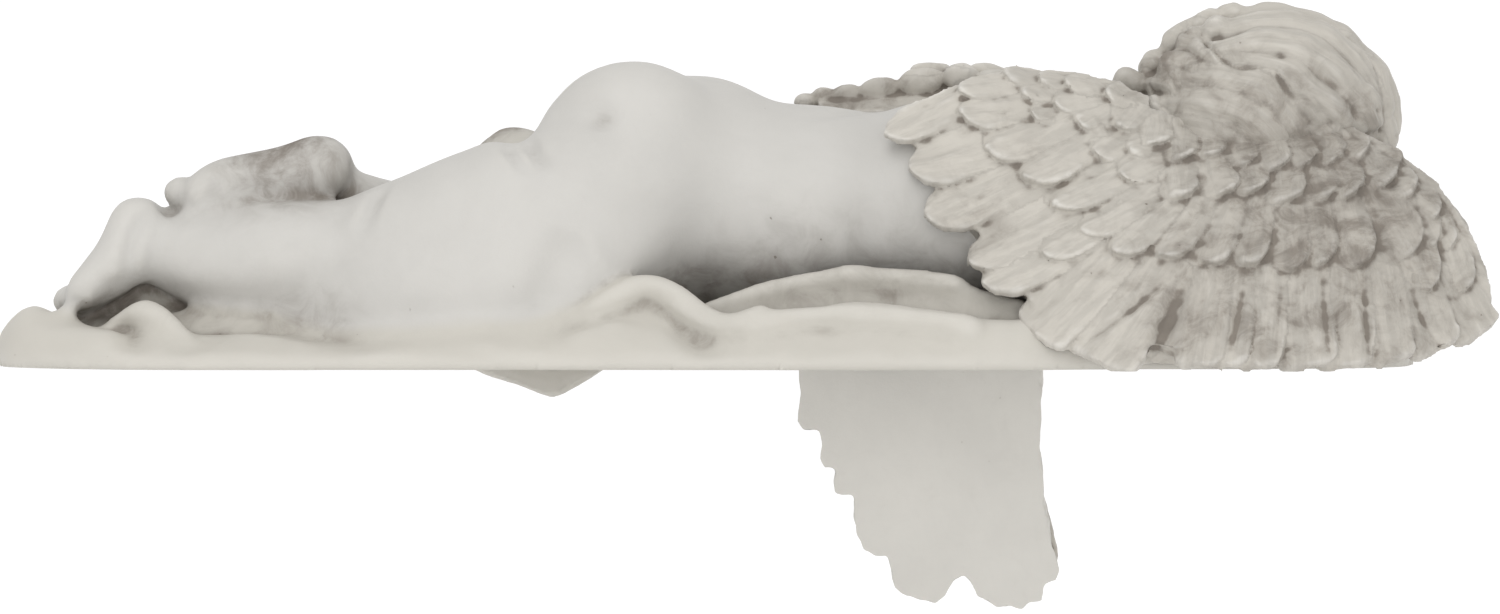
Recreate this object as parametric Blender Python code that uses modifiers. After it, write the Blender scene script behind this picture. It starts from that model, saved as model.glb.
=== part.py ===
"""Sleeping angel shelf statue: one resin casting of a winged child asleep on folded cloth.

The child lies on its belly along X with its head towards +X.  The flat underside rests on a
shelf's top at z = 0, and the front wing and a corner of the cloth hang down past the shelf's
front edge on the +Y side.  The casting is sculpted as a heap of simple closed masses that a
voxel remesh fuses, the way a modeller builds up clay, and is then thinned to a light mesh.
"""

import math

import bmesh
import bpy
import numpy as np
from mathutils import Euler, Matrix, Vector

# Driving dimensions, in metres.
STATUE_LENGTH = 0.394
SHELF_EDGE = 0.057
HANGING_THICKNESS = 0.008
NEAR_WING_THICKNESS = 0.011
FEATHER_THICKNESS = 0.0030
SEAT_SLAB_HEIGHT = 0.006

# The pose, proportions and carving are written in shares of the statue's length.
SHARES_IN_LENGTH = 394
SHARE = STATUE_LENGTH / SHARES_IN_LENGTH

# How finely the clay is fused and how many triangles the finished casting keeps.
BODY_VOXEL = 0.0017
CARVING_VOXEL = 0.0013
BODY_SMOOTHING = 14
CLOTH_SMOOTHING = 7
CARVING_SMOOTHING = 1
TRIANGLES_KEPT = 9600

STONE_COLOUR = (0.62, 0.60, 0.56, 1.0)
STONE_ROUGHNESS = 0.7


def clear_scene():
    """Remove every object of the scene that is open."""
    for thing in list(bpy.data.objects):
        bpy.data.objects.remove(thing)


def shares(x, y, z):
    """A point of the pose, in metres."""
    return Vector((x, y, z)) * SHARE


def ball(clay, centre, radii, turn=(0.0, 0.0, 0.0), detail=3):
    """An ellipsoid: centre and radii in shares, turned by degrees about X, Y and Z."""
    angles = Euler([math.radians(angle) for angle in turn])
    place = Matrix.LocRotScale(shares(*centre), angles, shares(*radii))
    bmesh.ops.create_icosphere(clay, subdivisions=detail, radius=1.0, matrix=place)


def rod(clay, start, end, start_radius, end_radius):
    """A cone between two points in metres, closed at both ends."""
    along = end - start
    place = Matrix.LocRotScale((start + end) / 2, along.to_track_quat("Z", "Y"), None)
    bmesh.ops.create_cone(
        clay,
        cap_ends=True,
        segments=16,
        radius1=start_radius,
        radius2=end_radius,
        depth=along.length,
        matrix=place,
    )


def curve_point(points, position):
    """A point on the smooth curve through a list of number rows, at a real-valued index."""
    last = len(points) - 1
    position = min(max(position, 0), last)
    index = min(int(position), last - 1)
    t = position - index
    rows = [np.array(points[min(max(index + k, 0), last)], float) for k in (-1, 0, 1, 2)]
    slope_in = (rows[2] - rows[0]) / 2
    slope_out = (rows[3] - rows[1]) / 2
    rise = t * t * (3 - 2 * t)
    return (
        rows[1] * (1 - rise)
        + rows[2] * rise
        + slope_in * (t * (1 - t) ** 2)
        - slope_out * (t * t * (1 - t))
    )


def limb(clay, path, steps=3):
    """A rounded limb through rows of x, y, z and radius, in shares."""
    count = (len(path) - 1) * steps
    rows = [curve_point(path, k / steps) for k in range(count + 1)]
    for row in rows:
        ball(clay, row[:3], (row[3],) * 3, detail=2)
    for first, second in zip(rows, rows[1:]):
        start, end = shares(*first[:3]), shares(*second[:3])
        if (end - start).length > 1e-6:
            rod(clay, start, end, first[3] * SHARE, second[3] * SHARE)


def object_from(clay, name, collection):
    """A bmesh made an object in a collection."""
    mesh = bpy.data.meshes.new(name)
    clay.to_mesh(mesh)
    clay.free()
    thing = bpy.data.objects.new(name, mesh)
    collection.objects.link(thing)
    return thing


def settle(thing):
    """Apply an object's modifiers to its own mesh."""
    graph = bpy.context.evaluated_depsgraph_get()
    evaluated = thing.evaluated_get(graph)
    mesh = bpy.data.meshes.new_from_object(evaluated)
    thing.modifiers.clear()
    old = thing.data
    thing.data = mesh
    bpy.data.meshes.remove(old)


def fuse(thing, voxel, smoothing):
    """Fuse an object's overlapping shells into one skin and soften its junctions."""
    remesh = thing.modifiers.new("fuse", "REMESH")
    remesh.mode = "VOXEL"
    remesh.voxel_size = voxel
    if smoothing:
        soften = thing.modifiers.new("soften", "SMOOTH")
        soften.factor = 0.5
        soften.iterations = smoothing
    settle(thing)


def stone(name):
    """The casting's off-white antique stone finish."""
    material = bpy.data.materials.new(name)
    material.use_nodes = True
    shader = material.node_tree.nodes["Principled BSDF"]
    shader.inputs["Base Color"].default_value = STONE_COLOUR
    shader.inputs["Roughness"].default_value = STONE_ROUGHNESS
    shader.inputs["Metallic"].default_value = 0.0
    return material


# The child's body.

TORSO = (
    ((-22, 0, 43), (33, 36, 31)),
    ((-31, -17, 55.5), (25, 20, 25)),
    ((-31, 17, 55), (25, 20, 24.5)),
    ((-13, 0, 48), (28, 28, 29)),
    ((14, 0, 39.5), (44, 35, 29.5)),
    ((60, 0, 41), (44, 38, 31)),
    ((53, 33, 49), (35, 24, 26)),
    ((88, -20, 39), (22, 18, 20)),
    ((90, 24, 42), (22, 20, 22)),
    ((112, 2, 52), (22, 20, 20)),
)
NEAR_THIGH = ((-36, -20, 42, 27), (-60, -24, 33, 27), (-80, -26, 29, 24), (-97, -28, 28, 18.5))
NEAR_THIGH_BASE = (
    (-50, -24, 27, 26), (-68, -28, 23, 25), (-86, -31, 20, 22), (-102, -32, 16, 16), (-113, -33, 11, 10),
)
NEAR_CALF = (
    (-97, -28, 28, 17.5),
    (-110, -28, 27.5, 16),
    (-124, -28, 28.8, 15),
    (-138, -28, 29.2, 13),
    (-149, -28, 29.5, 10),
    (-158, -28, 31, 8.5),
)
NEAR_FOOT = (
    (-158.5, -28, 35.5, 9), (-163.5, -28, 30.5, 8.6), (-168.5, -28, 26, 7.6),
    (-173, -28, 21.5, 6.2), (-176.5, -28, 18.5, 5.2),
)
FAR_FOOT = (
    (-112.5, -14, 51.5, 9.8), (-122, -16, 50, 8.2), (-132, -18, 48.6, 7.4),
    (-141, -20, 47.4, 7.2), (-148, -20.5, 45, 5.6),
)
FAR_THIGH = ((-34, 20, 42, 26), (-50, 34, 35, 22), (-64, 44, 28, 17))
FAR_CALF = ((-64, 44, 28, 16), (-78, 30, 32, 14), (-92, 10, 40, 11), (-105, -8, 47.5, 8.5))
NEAR_ARM = ((90, -26, 34, 15), (114, -40, 22, 13), (134, -42, 16, 12), (162, -18, 17, 9.5))
FAR_ARM = ((92, 32, 40, 18), (112, 44, 22, 14), (126, 46, 16, 12), (158, 38, 15, 9))


def body(collection):
    """The soft masses of torso, thighs, calves, arms and skull, fused and smoothed."""
    clay = bmesh.new()
    for centre, radii in TORSO:
        ball(clay, centre, radii)
    limbs = (NEAR_THIGH, NEAR_THIGH_BASE, NEAR_CALF, FAR_THIGH, FAR_CALF, NEAR_ARM, FAR_ARM)
    for path in limbs:
        limb(clay, path)
    for path in (NEAR_FOOT, FAR_FOOT):
        for side in (-4, 0, 4):
            limb(clay, [(x, y + side * (1 + 0.25 * k), z, r) for k, (x, y, z, r) in enumerate(path)])
    thing = object_from(clay, "body", collection)
    fuse(thing, BODY_VOXEL, BODY_SMOOTHING)
    return thing


def toes(clay, big_toe, last_toe, big_radius, small_radius):
    """Five toes in a row from the big one to the last."""
    for k in range(5):
        t = k / 4
        centre = [a + (b - a) * t for a, b in zip(big_toe, last_toe)]
        radius = big_radius + (small_radius - big_radius) * min(1, t * 2)
        ball(clay, centre, (radius * 1.3, radius, radius), detail=2)


# The cloth.

NEAR_RIM = (
    (-200, -8), (-197, -28), (-186, -44), (-168, -55), (-146, -60), (-110, -60), (-60, -59),
    (-20, -60), (30, -62), (70, -60), (100, -54), (130, -52), (160, -48), (182, -38), (192, -18),
)
FRONT_RIM = (
    (-200, -8), (-192, 14), (-172, 34), (-140, 48), (-100, 55), (-60, 57), (-20, 56), (30, 57),
    (80, 57), (130, 54), (162, 52), (182, 40), (190, 16), (192, -18),
)
CLOTH_THICKNESS = 4.5
RIM_ROUNDING = 5.0
CLOTH_GRID = (230, 84)

# Crests of the folds: rows of x, y, height and half width, in shares.
FOLDS = (
    ((-198, -4, 6, 6), (-194, -18, 10, 9), (-187, -32, 16, 9), (-177, -41, 12.5, 8),
     (-166, -46, 10, 7)),
    ((-168, -28, 9, 6), (-159, -35, 16, 5), (-156, -42, 15, 4.5), (-152, -50, 9, 4.5),
     (-148, -57, 4, 4.5)),
    ((-152, -44, 7, 6), (-132, -49, 10, 6.5), (-116, -50, 8.3, 6), (-100, -50, 6.7, 6),
     (-76, -50, 5, 6)),
    ((-58, -42, 9, 5), (-47, -45, 13.5, 5), (-36, -45, 20.5, 4.8), (-26, -44, 25, 5),
     (-19, -46, 20.5, 4.8), (-11, -49, 14, 4.6), (-3, -52, 14, 5.2), (10, -53, 15.8, 6),
     (26, -53, 17.3, 6.5), (42, -53, 15.8, 6.5), (60, -54, 13.5, 7), (84, -54, 12, 8)),
    ((-15, -40, 16, 5), (4, -41, 22, 5), (23, -40, 26, 4.6), (40, -40, 25, 4.6),
     (54, -42, 24, 4.6), (70, -46, 19, 5)),
    ((-54, -51, 6, 4.5), (-41, -53, 11, 4.5), (-29, -54, 6, 4.5)),
    ((-28, -36, 14, 7), (0, -38, 15, 6), (30, -38, 18, 6), (60, -40, 16, 8)),
    ((-176, -18, 15, 7), (-162, -22, 23, 7), (-148, -22, 22, 8), (-132, -22, 18, 9),
     (-112, -24, 14, 9)),
    ((-188, 2, 10, 7), (-172, -4, 13, 8), (-150, 2, 10, 8), (-128, 14, 12, 8), (-108, 28, 9, 8)),
    ((-182, 22, 8, 6), (-158, 32, 11, 6), (-132, 40, 8, 6), (-110, 48, 11, 6), (-88, 50, 9, 6)),
    ((-168, 12, 9, 5), (-146, 20, 12, 5), (-124, 26, 9, 6)),
    ((-36, 44, 13, 6), (-16, 48, 15, 6), (6, 46, 12, 6), (26, 50, 12, 7)),
    ((84, 50, 11, 7), (110, 46, 13, 7), (140, 48, 9, 6), (168, 42, 8, 6)),
    ((104, 10, 15, 14), (132, 8, 18, 16), (160, 4, 16, 15), (178, -4, 11, 10)),
    ((182, -26, 9, 7), (186, -6, 8, 7), (184, 16, 9, 6), (172, 34, 8, 6)),
)

# Rolled hems that stand out sharply on the folds: rows of x, y, z and radius.
HEMS = (
    ((-197, -10, 4, 3), (-193, -22, 8, 4), (-185, -33, 12.6, 4), (-177, -40, 9.6, 3.6),
     (-168, -46, 6.5, 3)),
    ((-163, -31, 11, 2.6), (-158, -37, 14.6, 2.8), (-155, -44, 11.5, 2.8), (-150, -52, 5.5, 2.6),
     (-146, -57, 1.5, 2.4)),
    ((-56, -43, 8, 3.4), (-46, -46.5, 11, 3.8), (-36, -47, 17.6, 4), (-27, -46, 22, 4),
     (-20, -48, 19.4, 4), (-13, -50.5, 13.4, 3.9), (-6, -53, 10.8, 3.8), (-1, -54.5, 12, 3.6),
     (3, -53.5, 14.4, 2.8)),
    ((0, -55, 10.6, 3.8), (12, -55.5, 13, 3.6), (26, -56, 14.2, 3.6), (40, -56, 13, 3.8),
     (56, -57, 10.4, 3.8)),
    ((-12, -41, 15, 2.6), (4, -42, 20, 2.8), (22, -41, 23.6, 2.8), (40, -41, 23, 2.8),
     (54, -43, 21.6, 2.8)),
    ((-100, -53, 3, 2.6), (-118, -54, 4.4, 2.8), (-136, -53, 5.4, 2.6)),
)

# Cloth drawn up over the front hip, and the corner of it that hangs past the shelf's edge.
DRAPE = (
    ((-60, 22, 50, 9), (-69, 38, 52, 11.5), (-72, 48, 42, 10), (-68, 55, 24, 8), (-62, 60, 4, 5)),
    ((-47, 36, 50, 8), (-46, 50, 42, 8.5), (-44, 56, 24, 7), (-45, 60, 4, 5)),
    ((-82, 30, 34, 8), (-88, 44, 24, 8), (-86, 54, 10, 6), (-80, 60, 1, 4)),
    ((-57, 50, 36, 10), (-56, 55, 16, 9), (-56, 61, -2, 5)),
    ((-72, 46, 34, 11), (-74, 52, 14, 9)),
)
HANGING_FOLDS = (
    ((-80, 60, 2, 3.6), (-72, 61, -1.5, 4.2), (-63, 61, -3, 4.6), (-56, 61, -6.8, 4.2)),
    ((-56, 61, -6.8, 4.2), (-49, 61, -4.4, 4.2), (-42, 60, 0, 3.8), (-36, 59, 3, 3.6)),
    ((-72, 60, 2, 4.2), (-56, 60, 0, 5), (-42, 60, 2, 4)),
)


def along_rim(rim, x):
    """The y of a rim of the cloth at some x, all in shares."""
    knots = np.array(rim, float)
    return np.interp(x, knots[:, 0], knots[:, 1])


def rim_rounding(rim):
    """A rim drawn as a smooth curve: many short chords through its knots."""
    count = (len(rim) - 1) * 8
    return [curve_point(rim, k / 8) for k in range(count + 1)]


def fold_height(x, y):
    """The cloth's height where the folds cross, for arrays of x and y in shares."""
    height = np.full(x.shape, CLOTH_THICKNESS)
    for path in FOLDS:
        count = (len(path) - 1) * 8
        for row in (curve_point(path, k / 8) for k in range(count + 1)):
            far = ((x - row[0]) ** 2 + (y - row[1]) ** 2) / row[3] ** 2
            crest = CLOTH_THICKNESS + (row[2] - CLOTH_THICKNESS) * np.exp(-far)
            height = np.maximum(height, crest)
    return height


def bedding_grid(clay):
    """The cloth's top as a grid between its rims, closed by the flat underside."""
    columns, rows = CLOTH_GRID
    near, front = rim_rounding(NEAR_RIM), rim_rounding(FRONT_RIM)
    low, high = near[0][0], near[-1][0]
    bmesh.ops.create_grid(clay, x_segments=columns, y_segments=rows, size=0.5)
    places = np.array([vert.co[:2] for vert in clay.verts]) + 0.5
    x = low + (high - low) * (0.5 - 0.5 * np.cos(places[:, 0] * math.pi))
    start, end = along_rim(near, x), along_rim(front, x)
    y = start + (end - start) * places[:, 1]
    inward = np.minimum(np.minimum(y - start, end - y), np.minimum(x - low, high - x))
    rounding = 1 - (1 - np.clip(inward / RIM_ROUNDING, 0, 1)) ** 2
    z = fold_height(x, y) * (0.35 + 0.65 * np.sqrt(rounding))
    for vert, place in zip(clay.verts, zip(x, y, z)):
        vert.co = shares(*place)
    made = bmesh.ops.extrude_face_region(clay, geom=list(clay.faces))["geom"]
    for item in made:
        if isinstance(item, bmesh.types.BMVert):
            item.co.z = 0.0
    bmesh.ops.recalc_face_normals(clay, faces=list(clay.faces))


def cloth(collection):
    """The folded cloth that the child lies on, with the corner that hangs past the shelf."""
    clay = bmesh.new()
    bedding_grid(clay)
    for path in (*HEMS, *DRAPE, *HANGING_FOLDS):
        limb(clay, path)
    thing = object_from(clay, "cloth", collection)
    fuse(thing, BODY_VOXEL, CLOTH_SMOOTHING)
    return thing


# The wings.  A wing is a sheet between a ridge, where its feathers start, and their tips.

NEAR_RIDGE = (
    (68, -14, 77), (75, -14, 77), (81, -15, 76), (88, -16, 75), (95, -17, 72.5), (101, -18, 70),
    (107, -20, 67), (118, -22, 63.5), (130, -24, 62.5), (142, -24, 63.5), (154, -24, 63.5),
    (163, -26, 60), (169, -28, 55.5), (175, -30, 51.5), (179, -32, 47.5),
)
NEAR_TIPS = (
    (36, -29, 60), (42, -35, 50.5), (46, -41, 40), (57, -46, 28), (65, -53, 17), (75, -62, 3),
    (92, -70, -1.5), (110, -73, -2), (125, -75, -2), (140, -75, -2), (155, -73, -2),
    (170, -68, -1), (182, -60, 2), (192, -52, 9), (191, -45, 24.5),
)
NEAR_BULGE = 5.0

FAR_SECTION = (
    (8, 60), (20, 72), (33, 77), (46, 73), (56, 60), (62, 42), (65, 20), (65, 0), (65, -80),
)
SECTION_ABOVE_SHELF = 7

# Stations of the far wing: x, and the way down along its section from the shelf's top.
FAR_ROOTS = (
    (64, -116), (72, -107), (78, -97), (81, -86), (83, -74), (84, -62), (84, -50), (83, -40),
    (83, -30), (82, -20), (82, -10), (82, 0), (82, 8), (81, 16), (81, 24), (82, 30), (82, 36),
)
FAR_TIPS = (
    (15, -112), (12, -94), (10, -74), (9, -54), (10, -34), (12, -14), (13, 6), (14, 20.5),
    (20, 31), (23, 39), (30, 57), (40, 65), (51, 70.5), (58.5, 63.5), (67, 69),
    (78, 70), (88, 60),
)

# Rows of feathers: how far along the sheet they start and end, how many, how proud their tips are.
ROWS = (
    (0.36, 1.00, 15, 1.6),
    (0.17, 0.62, 15, 3.0),
    (0.04, 0.37, 17, 3.6),
    (-0.06, 0.18, 21, 4.0),
)
FEATHER_STRAIGHT = 0.76
FEATHER_ARCH = 1.7
FEATHER_TILT = 0.6
FEATHER_SQUARENESS = 2.3
FEATHER_UNEVENNESS = 0.04


def near_sheet(u, v):
    """A point of the near wing's sheet, in metres, at a station u and a share v towards the tips."""
    root, tip = curve_point(NEAR_RIDGE, u), curve_point(NEAR_TIPS, u)
    bulge = NEAR_BULGE * 4 * v * (1 - v)
    return Vector(root + (tip - root) * v + np.array((0, -0.75, 0.65)) * bulge) * SHARE


def section_point(drop):
    """A point of the far wing's section, y and z, by the way down from the shelf's top."""
    knots = FAR_SECTION[SECTION_ABOVE_SHELF::-1] if drop < 0 else FAR_SECTION[SECTION_ABOVE_SHELF:]
    left = abs(drop)
    for first, second in zip(knots, knots[1:]):
        step = math.dist(first, second)
        if step >= left:
            return [a + (b - a) * left / step for a, b in zip(first, second)]
        left -= step
    return knots[-1]


def far_sheet(u, v):
    """A point of the far wing's sheet, in metres."""
    root, tip = curve_point(FAR_ROOTS, u), curve_point(FAR_TIPS, u)
    x, drop = root + (tip - root) * v
    rounded = [section_point(drop + shift) for shift in (-8, -4, 0, 4, 8)]
    y, z = (sum(column) / len(rounded) for column in zip(*rounded))
    front = SHELF_EDGE + HANGING_THICKNESS
    return Vector((x * SHARE, min(y * SHARE, front), z * SHARE))


def sheet_normal(sheet, u, v, outward):
    """The sheet's unit normal, turned to the side that outward points to."""
    step = 0.02
    across = sheet(u + step, v) - sheet(u - step, v)
    along = sheet(u, min(v + step, 1)) - sheet(u, max(v - step, 0))
    normal = across.cross(along).normalized()
    return normal if normal.dot(outward) > 0 else -normal


def plate(clay, place, columns, steps, thickness):
    """A closed curved plate: a grid mapped by place(a, b, depth) and by its depth below that."""
    grid = bmesh.new()
    bmesh.ops.create_grid(grid, x_segments=columns, y_segments=steps, size=0.5)
    back = set(grid.verts)
    bmesh.ops.extrude_face_region(grid, geom=list(grid.faces))
    for vert in grid.verts:
        depth = thickness if vert in back else 0.0
        vert.co = place(vert.co.x + 0.5, vert.co.y + 0.5, depth)
    bmesh.ops.recalc_face_normals(grid, faces=list(grid.faces))
    scrap = bpy.data.meshes.new("plate")
    grid.to_mesh(scrap)
    grid.free()
    clay.from_mesh(scrap)
    bpy.data.meshes.remove(scrap)


def feather(clay, sheet, station, half_width, span, lift, outward):
    """One feather: a rounded, arched blade lying on a wing's sheet from span[0] to span[1]."""

    def place(a, b, depth):
        side = a * 2 - 1
        b = math.sin(b * math.pi / 2)
        tip = max(0.0, b - FEATHER_STRAIGHT) / (1 - FEATHER_STRAIGHT)
        tip = max(0.0, 1 - tip**FEATHER_SQUARENESS) ** (1 / FEATHER_SQUARENESS)
        width = half_width * (0.7 + 0.3 * min(1, b / 0.6)) * max(tip, 0.04)
        u = station + side * width
        v = span[0] + (span[1] - span[0]) * b
        arch = FEATHER_ARCH * (1 - side * side)
        height = (lift * b * b + arch + FEATHER_TILT * side) * SHARE
        return sheet(u, v) + sheet_normal(sheet, u, v, outward) * (height - depth)

    plate(clay, place, 6, 10, FEATHER_THICKNESS)


def wing(name, sheet, stations, outward, thickness, collection):
    """A wing: a thick sheet under overlapping rows of feathers."""
    clay = bmesh.new()
    last = stations - 1

    def place(a, b, depth):
        u, v = a * last, b * 0.95
        return sheet(u, v) - sheet_normal(sheet, u, v, outward) * depth

    plate(clay, place, 28, 12, thickness)
    for start, end, count, lift in ROWS:
        spacing = last / count
        for k in range(count):
            station = spacing * (k + 0.5)
            reach = end * (1 - FEATHER_UNEVENNESS * (0.5 + 0.5 * math.sin(k * 2.4 + count)))
            feather(clay, sheet, station, spacing * 0.58, (start, reach), lift, outward)
    return object_from(clay, name, collection)


# The head, in its own axes: side points up to the sky, face out of the shelf, crown to +X.

HEAD_CENTRE = (136.5, 3, 62.5)
HEAD_FACING = (-0.12, 0.94, -0.26)
HEAD_CROWN = (0.95, 0.10, 0.28)
SKULL = (30.5, 32.5, 34)
FACE = (
    ((0, 8, 8), (26, 25.5, 24)),
    ((12.5, 17, -13), (14, 13, 13)),
    ((-12.5, 17, -13), (14, 13, 13)),
    ((0, 15, -20), (17, 14, 12)),
    ((0, 26, -28), (7, 6, 5.5)),
    ((0, 28.5, -20), (9, 6, 6.5)),
    ((0, 34, -17.6), (5.6, 2.6, 2.0)),
    ((0, 33.4, -21.2), (4.8, 2.6, 2.2)),
    ((11.2, 25.8, -3), (6.8, 5.6, 4.8)),
    ((-11.2, 25.8, -3), (6.8, 5.6, 4.8)),
    ((0, 36, -10), (3.7, 3.6, 3.4)),
    ((3.3, 34, -11), (2.4, 2.4, 2.3)),
    ((-3.3, 34, -11), (2.4, 2.4, 2.3)),
    ((30, -2, -9), (4, 7, 9)),
    ((-30, -2, -9), (4, 7, 9)),
)
NOSE = ((0, 30.5, 0, 3.2), (0, 33, -5, 3.0), (0, 35.5, -9, 3.2))
WHORL = (0.30, -0.62, 0.72)
LOCK_RINGS = ((8, 5, 34), (30, 9, 36), (54, 13, 36), (78, 16, 34), (102, 17, 32), (124, 13, 26))
LOCK_RADIUS = 4.0
LOCK_SWIRL = 0.95
CURLS = (
    (20, -20, -26), (6, -27, -27), (26, -8, -28), (28, -14, -16), (12, -30, -14), (24, 6, -24),
    (29, 12, 2), (24, 16, 16), (16, 20, 24), (2, 22, 28), (-14, 20, 24), (-24, 14, 14),
    (-4, -30, -22), (-18, -22, -24),
)


def head_axes():
    """The head's side, facing and crown directions."""
    facing = Vector(HEAD_FACING).normalized()
    crown = Vector(HEAD_CROWN)
    crown = (crown - facing * crown.dot(facing)).normalized()
    return crown.cross(facing), facing, crown


def head_point(side, face, up):
    """A point given in the head's own axes, in shares of the statue's frame."""
    across, facing, crown = head_axes()
    return tuple(Vector(HEAD_CENTRE) + across * side + facing * face + crown * up)


def head_ball(clay, centre, radii, detail=3):
    """An ellipsoid in the head's own axes."""
    across, facing, crown = head_axes()
    turned = Matrix((across, facing, crown)).transposed().to_quaternion()
    place = Matrix.LocRotScale(shares(*head_point(*centre)), turned, shares(*radii))
    bmesh.ops.create_icosphere(clay, subdivisions=detail, radius=1.0, matrix=place)


def on_skull(direction, raise_by):
    """Where a direction from the head's centre meets the skull, raised by some shares."""
    radius = 1 / math.sqrt(sum((d / r) ** 2 for d, r in zip(direction, SKULL)))
    return [d * (radius + raise_by) for d in direction]


def whorl_direction(tilt, turn):
    """A unit direction at an angle from the hair's whorl, turned about it."""
    pole = Vector(WHORL).normalized()
    first = pole.orthogonal().normalized()
    second = pole.cross(first)
    flat = first * math.cos(turn) + second * math.sin(turn)
    return pole * math.cos(tilt) + flat * math.sin(tilt)


def in_face(direction):
    """Whether a direction from the head's centre comes out in the bare face."""
    return direction.y > 0.40 and direction.z < 0.62 and abs(direction.x) < 0.80


def hair(clay):
    """Locks that swirl out of the whorl in rings, and small curls round the face and nape."""
    for ring, (tilt, count, reach) in enumerate(LOCK_RINGS):
        for k in range(count):
            turn = 2 * math.pi * (k + 0.5 * (ring % 2)) / count
            path = []
            for step in range(6):
                t = step / 5
                angle = math.radians(tilt + reach * t)
                swing = turn + LOCK_SWIRL * t + 0.16 * math.sin(2 * math.pi * t + k * 1.7)
                direction = whorl_direction(angle, swing)
                if in_face(direction):
                    break
                radius = LOCK_RADIUS * (0.75 + 0.6 * math.sin(math.pi * (0.15 + 0.75 * t)))
                path.append((*head_point(*on_skull(direction, -0.3 * LOCK_RADIUS)), radius))
            if len(path) > 2:
                limb(clay, path, steps=1)
    for centre in CURLS:
        curl(clay, Vector(centre).normalized())


def curl(clay, direction):
    """A small ring of hair lying on the skull."""
    first = direction.orthogonal().normalized()
    second = direction.cross(first)
    path = []
    for step in range(8):
        angle = 1.5 * math.pi * step / 7
        middle = Vector(on_skull(direction, 1.0 + 0.2 * step))
        reach = 4.6 * (1 - 0.07 * step)
        spot = middle + (first * math.cos(angle) + second * math.sin(angle)) * reach
        path.append((*head_point(*spot), 2.3))
    limb(clay, path, steps=1)


def head(clay):
    """The skull, the face asleep, and the hair."""
    head_ball(clay, (0, 0, 0), SKULL)
    for centre, radii in FACE:
        head_ball(clay, centre, radii)
    limb(clay, [(*head_point(*row[:3]), row[3]) for row in NOSE], steps=2)
    hair(clay)


def hands(clay):
    """The hands under the cheek."""
    ball(clay, (166, 34, 16), (8.5, 7.5, 5.5), (0, 0, -12))
    for k in range(4):
        y = 40 - 4.2 * k
        limb(clay, ((170, y, 16, 2.9), (177, y - 1, 17, 2.7), (182, y - 3, 14.5, 2.4)), steps=2)
    ball(clay, (170, -6, 18), (9, 7.5, 5.5), (0, 0, 60))


def drop_hollows(thing):
    """Keep an object's largest shell and drop the hollows shut inside it."""
    clay = bmesh.new()
    clay.from_mesh(thing.data)
    waiting = set(clay.verts)
    shells = []
    while waiting:
        shell = {waiting.pop()}
        edge_of = list(shell)
        while edge_of:
            vert = edge_of.pop()
            for edge in vert.link_edges:
                other = edge.other_vert(vert)
                if other in waiting:
                    waiting.discard(other)
                    shell.add(other)
                    edge_of.append(other)
        shells.append(shell)
    shells.sort(key=len)
    scrap = [vert for shell in shells[:-1] for vert in shell]
    bmesh.ops.delete(clay, geom=scrap, context="VERTS")
    clay.to_mesh(thing.data)
    clay.free()


def rest_on_shelf(thing):
    """Press whatever dips below the shelf's top up to it."""
    for vert in thing.data.vertices:
        vert.co.z = max(vert.co.z, 0.0)


def true_up(thing, reach):
    """Make the seat and the back of the hanging parts true flats."""
    for vert in thing.data.vertices:
        under = abs(vert.co.z) < reach and vert.co.y < SHELF_EDGE + reach
        behind = abs(vert.co.y - SHELF_EDGE) < reach and vert.co.z < reach
        if under:
            vert.co.z = 0.0
        if behind:
            vert.co.y = SHELF_EDGE


def main():
    clear_scene()
    scene = bpy.context.scene
    parts = bpy.data.collections.new("sleeping angel")
    scene.collection.children.link(parts)
    figure = body(parts)
    bedding = cloth(parts)
    clay = bmesh.new()
    toes(clay, (-178.5, -18.5, 16.8), (-174, -38, 18), 4.6, 3.2)
    toes(clay, (-151.5, -30, 43), (-149, -11, 44), 4.6, 3.2)
    head(clay)
    hands(clay)
    extras = object_from(clay, "extras", parts)
    near_wing = wing(
        "near_wing", near_sheet, len(NEAR_RIDGE), Vector((0, -1, 1)), NEAR_WING_THICKNESS, parts
    )
    far_wing = wing(
        "far_wing", far_sheet, len(FAR_ROOTS), Vector((0, 1, 0.4)), HANGING_THICKNESS, parts
    )
    for thing in (figure, extras, near_wing):
        rest_on_shelf(thing)
    joined = bmesh.new()
    for thing in (figure, bedding, extras, near_wing, far_wing):
        joined.from_mesh(thing.data)
        bpy.data.objects.remove(thing)
    statue = object_from(joined, "sleeping_angel", parts)
    fuse(statue, CARVING_VOXEL, CARVING_SMOOTHING)
    drop_hollows(statue)
    true_up(statue, CARVING_VOXEL * 0.8)
    thin = statue.modifiers.new("thin", "DECIMATE")
    thin.ratio = TRIANGLES_KEPT / (2 * len(statue.data.polygons))
    settle(statue)
    true_up(statue, CARVING_VOXEL * 0.8)
    statue.data.materials.clear()
    statue.data.materials.append(stone("antique_stone"))


main()
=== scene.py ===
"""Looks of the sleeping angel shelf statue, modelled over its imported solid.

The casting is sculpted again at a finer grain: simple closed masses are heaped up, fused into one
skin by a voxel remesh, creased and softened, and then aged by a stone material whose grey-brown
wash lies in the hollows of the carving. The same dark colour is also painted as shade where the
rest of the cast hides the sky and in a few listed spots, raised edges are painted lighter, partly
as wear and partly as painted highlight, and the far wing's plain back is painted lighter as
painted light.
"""

import functools
import math

import bmesh
import bpy
import numpy as np
from bpy.props import FloatProperty, FloatVectorProperty, IntProperty, PointerProperty
from bpy.types import Operator, Panel, PropertyGroup
from mathutils import Euler, Matrix, Vector
from mathutils.bvhtree import BVHTree


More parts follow.
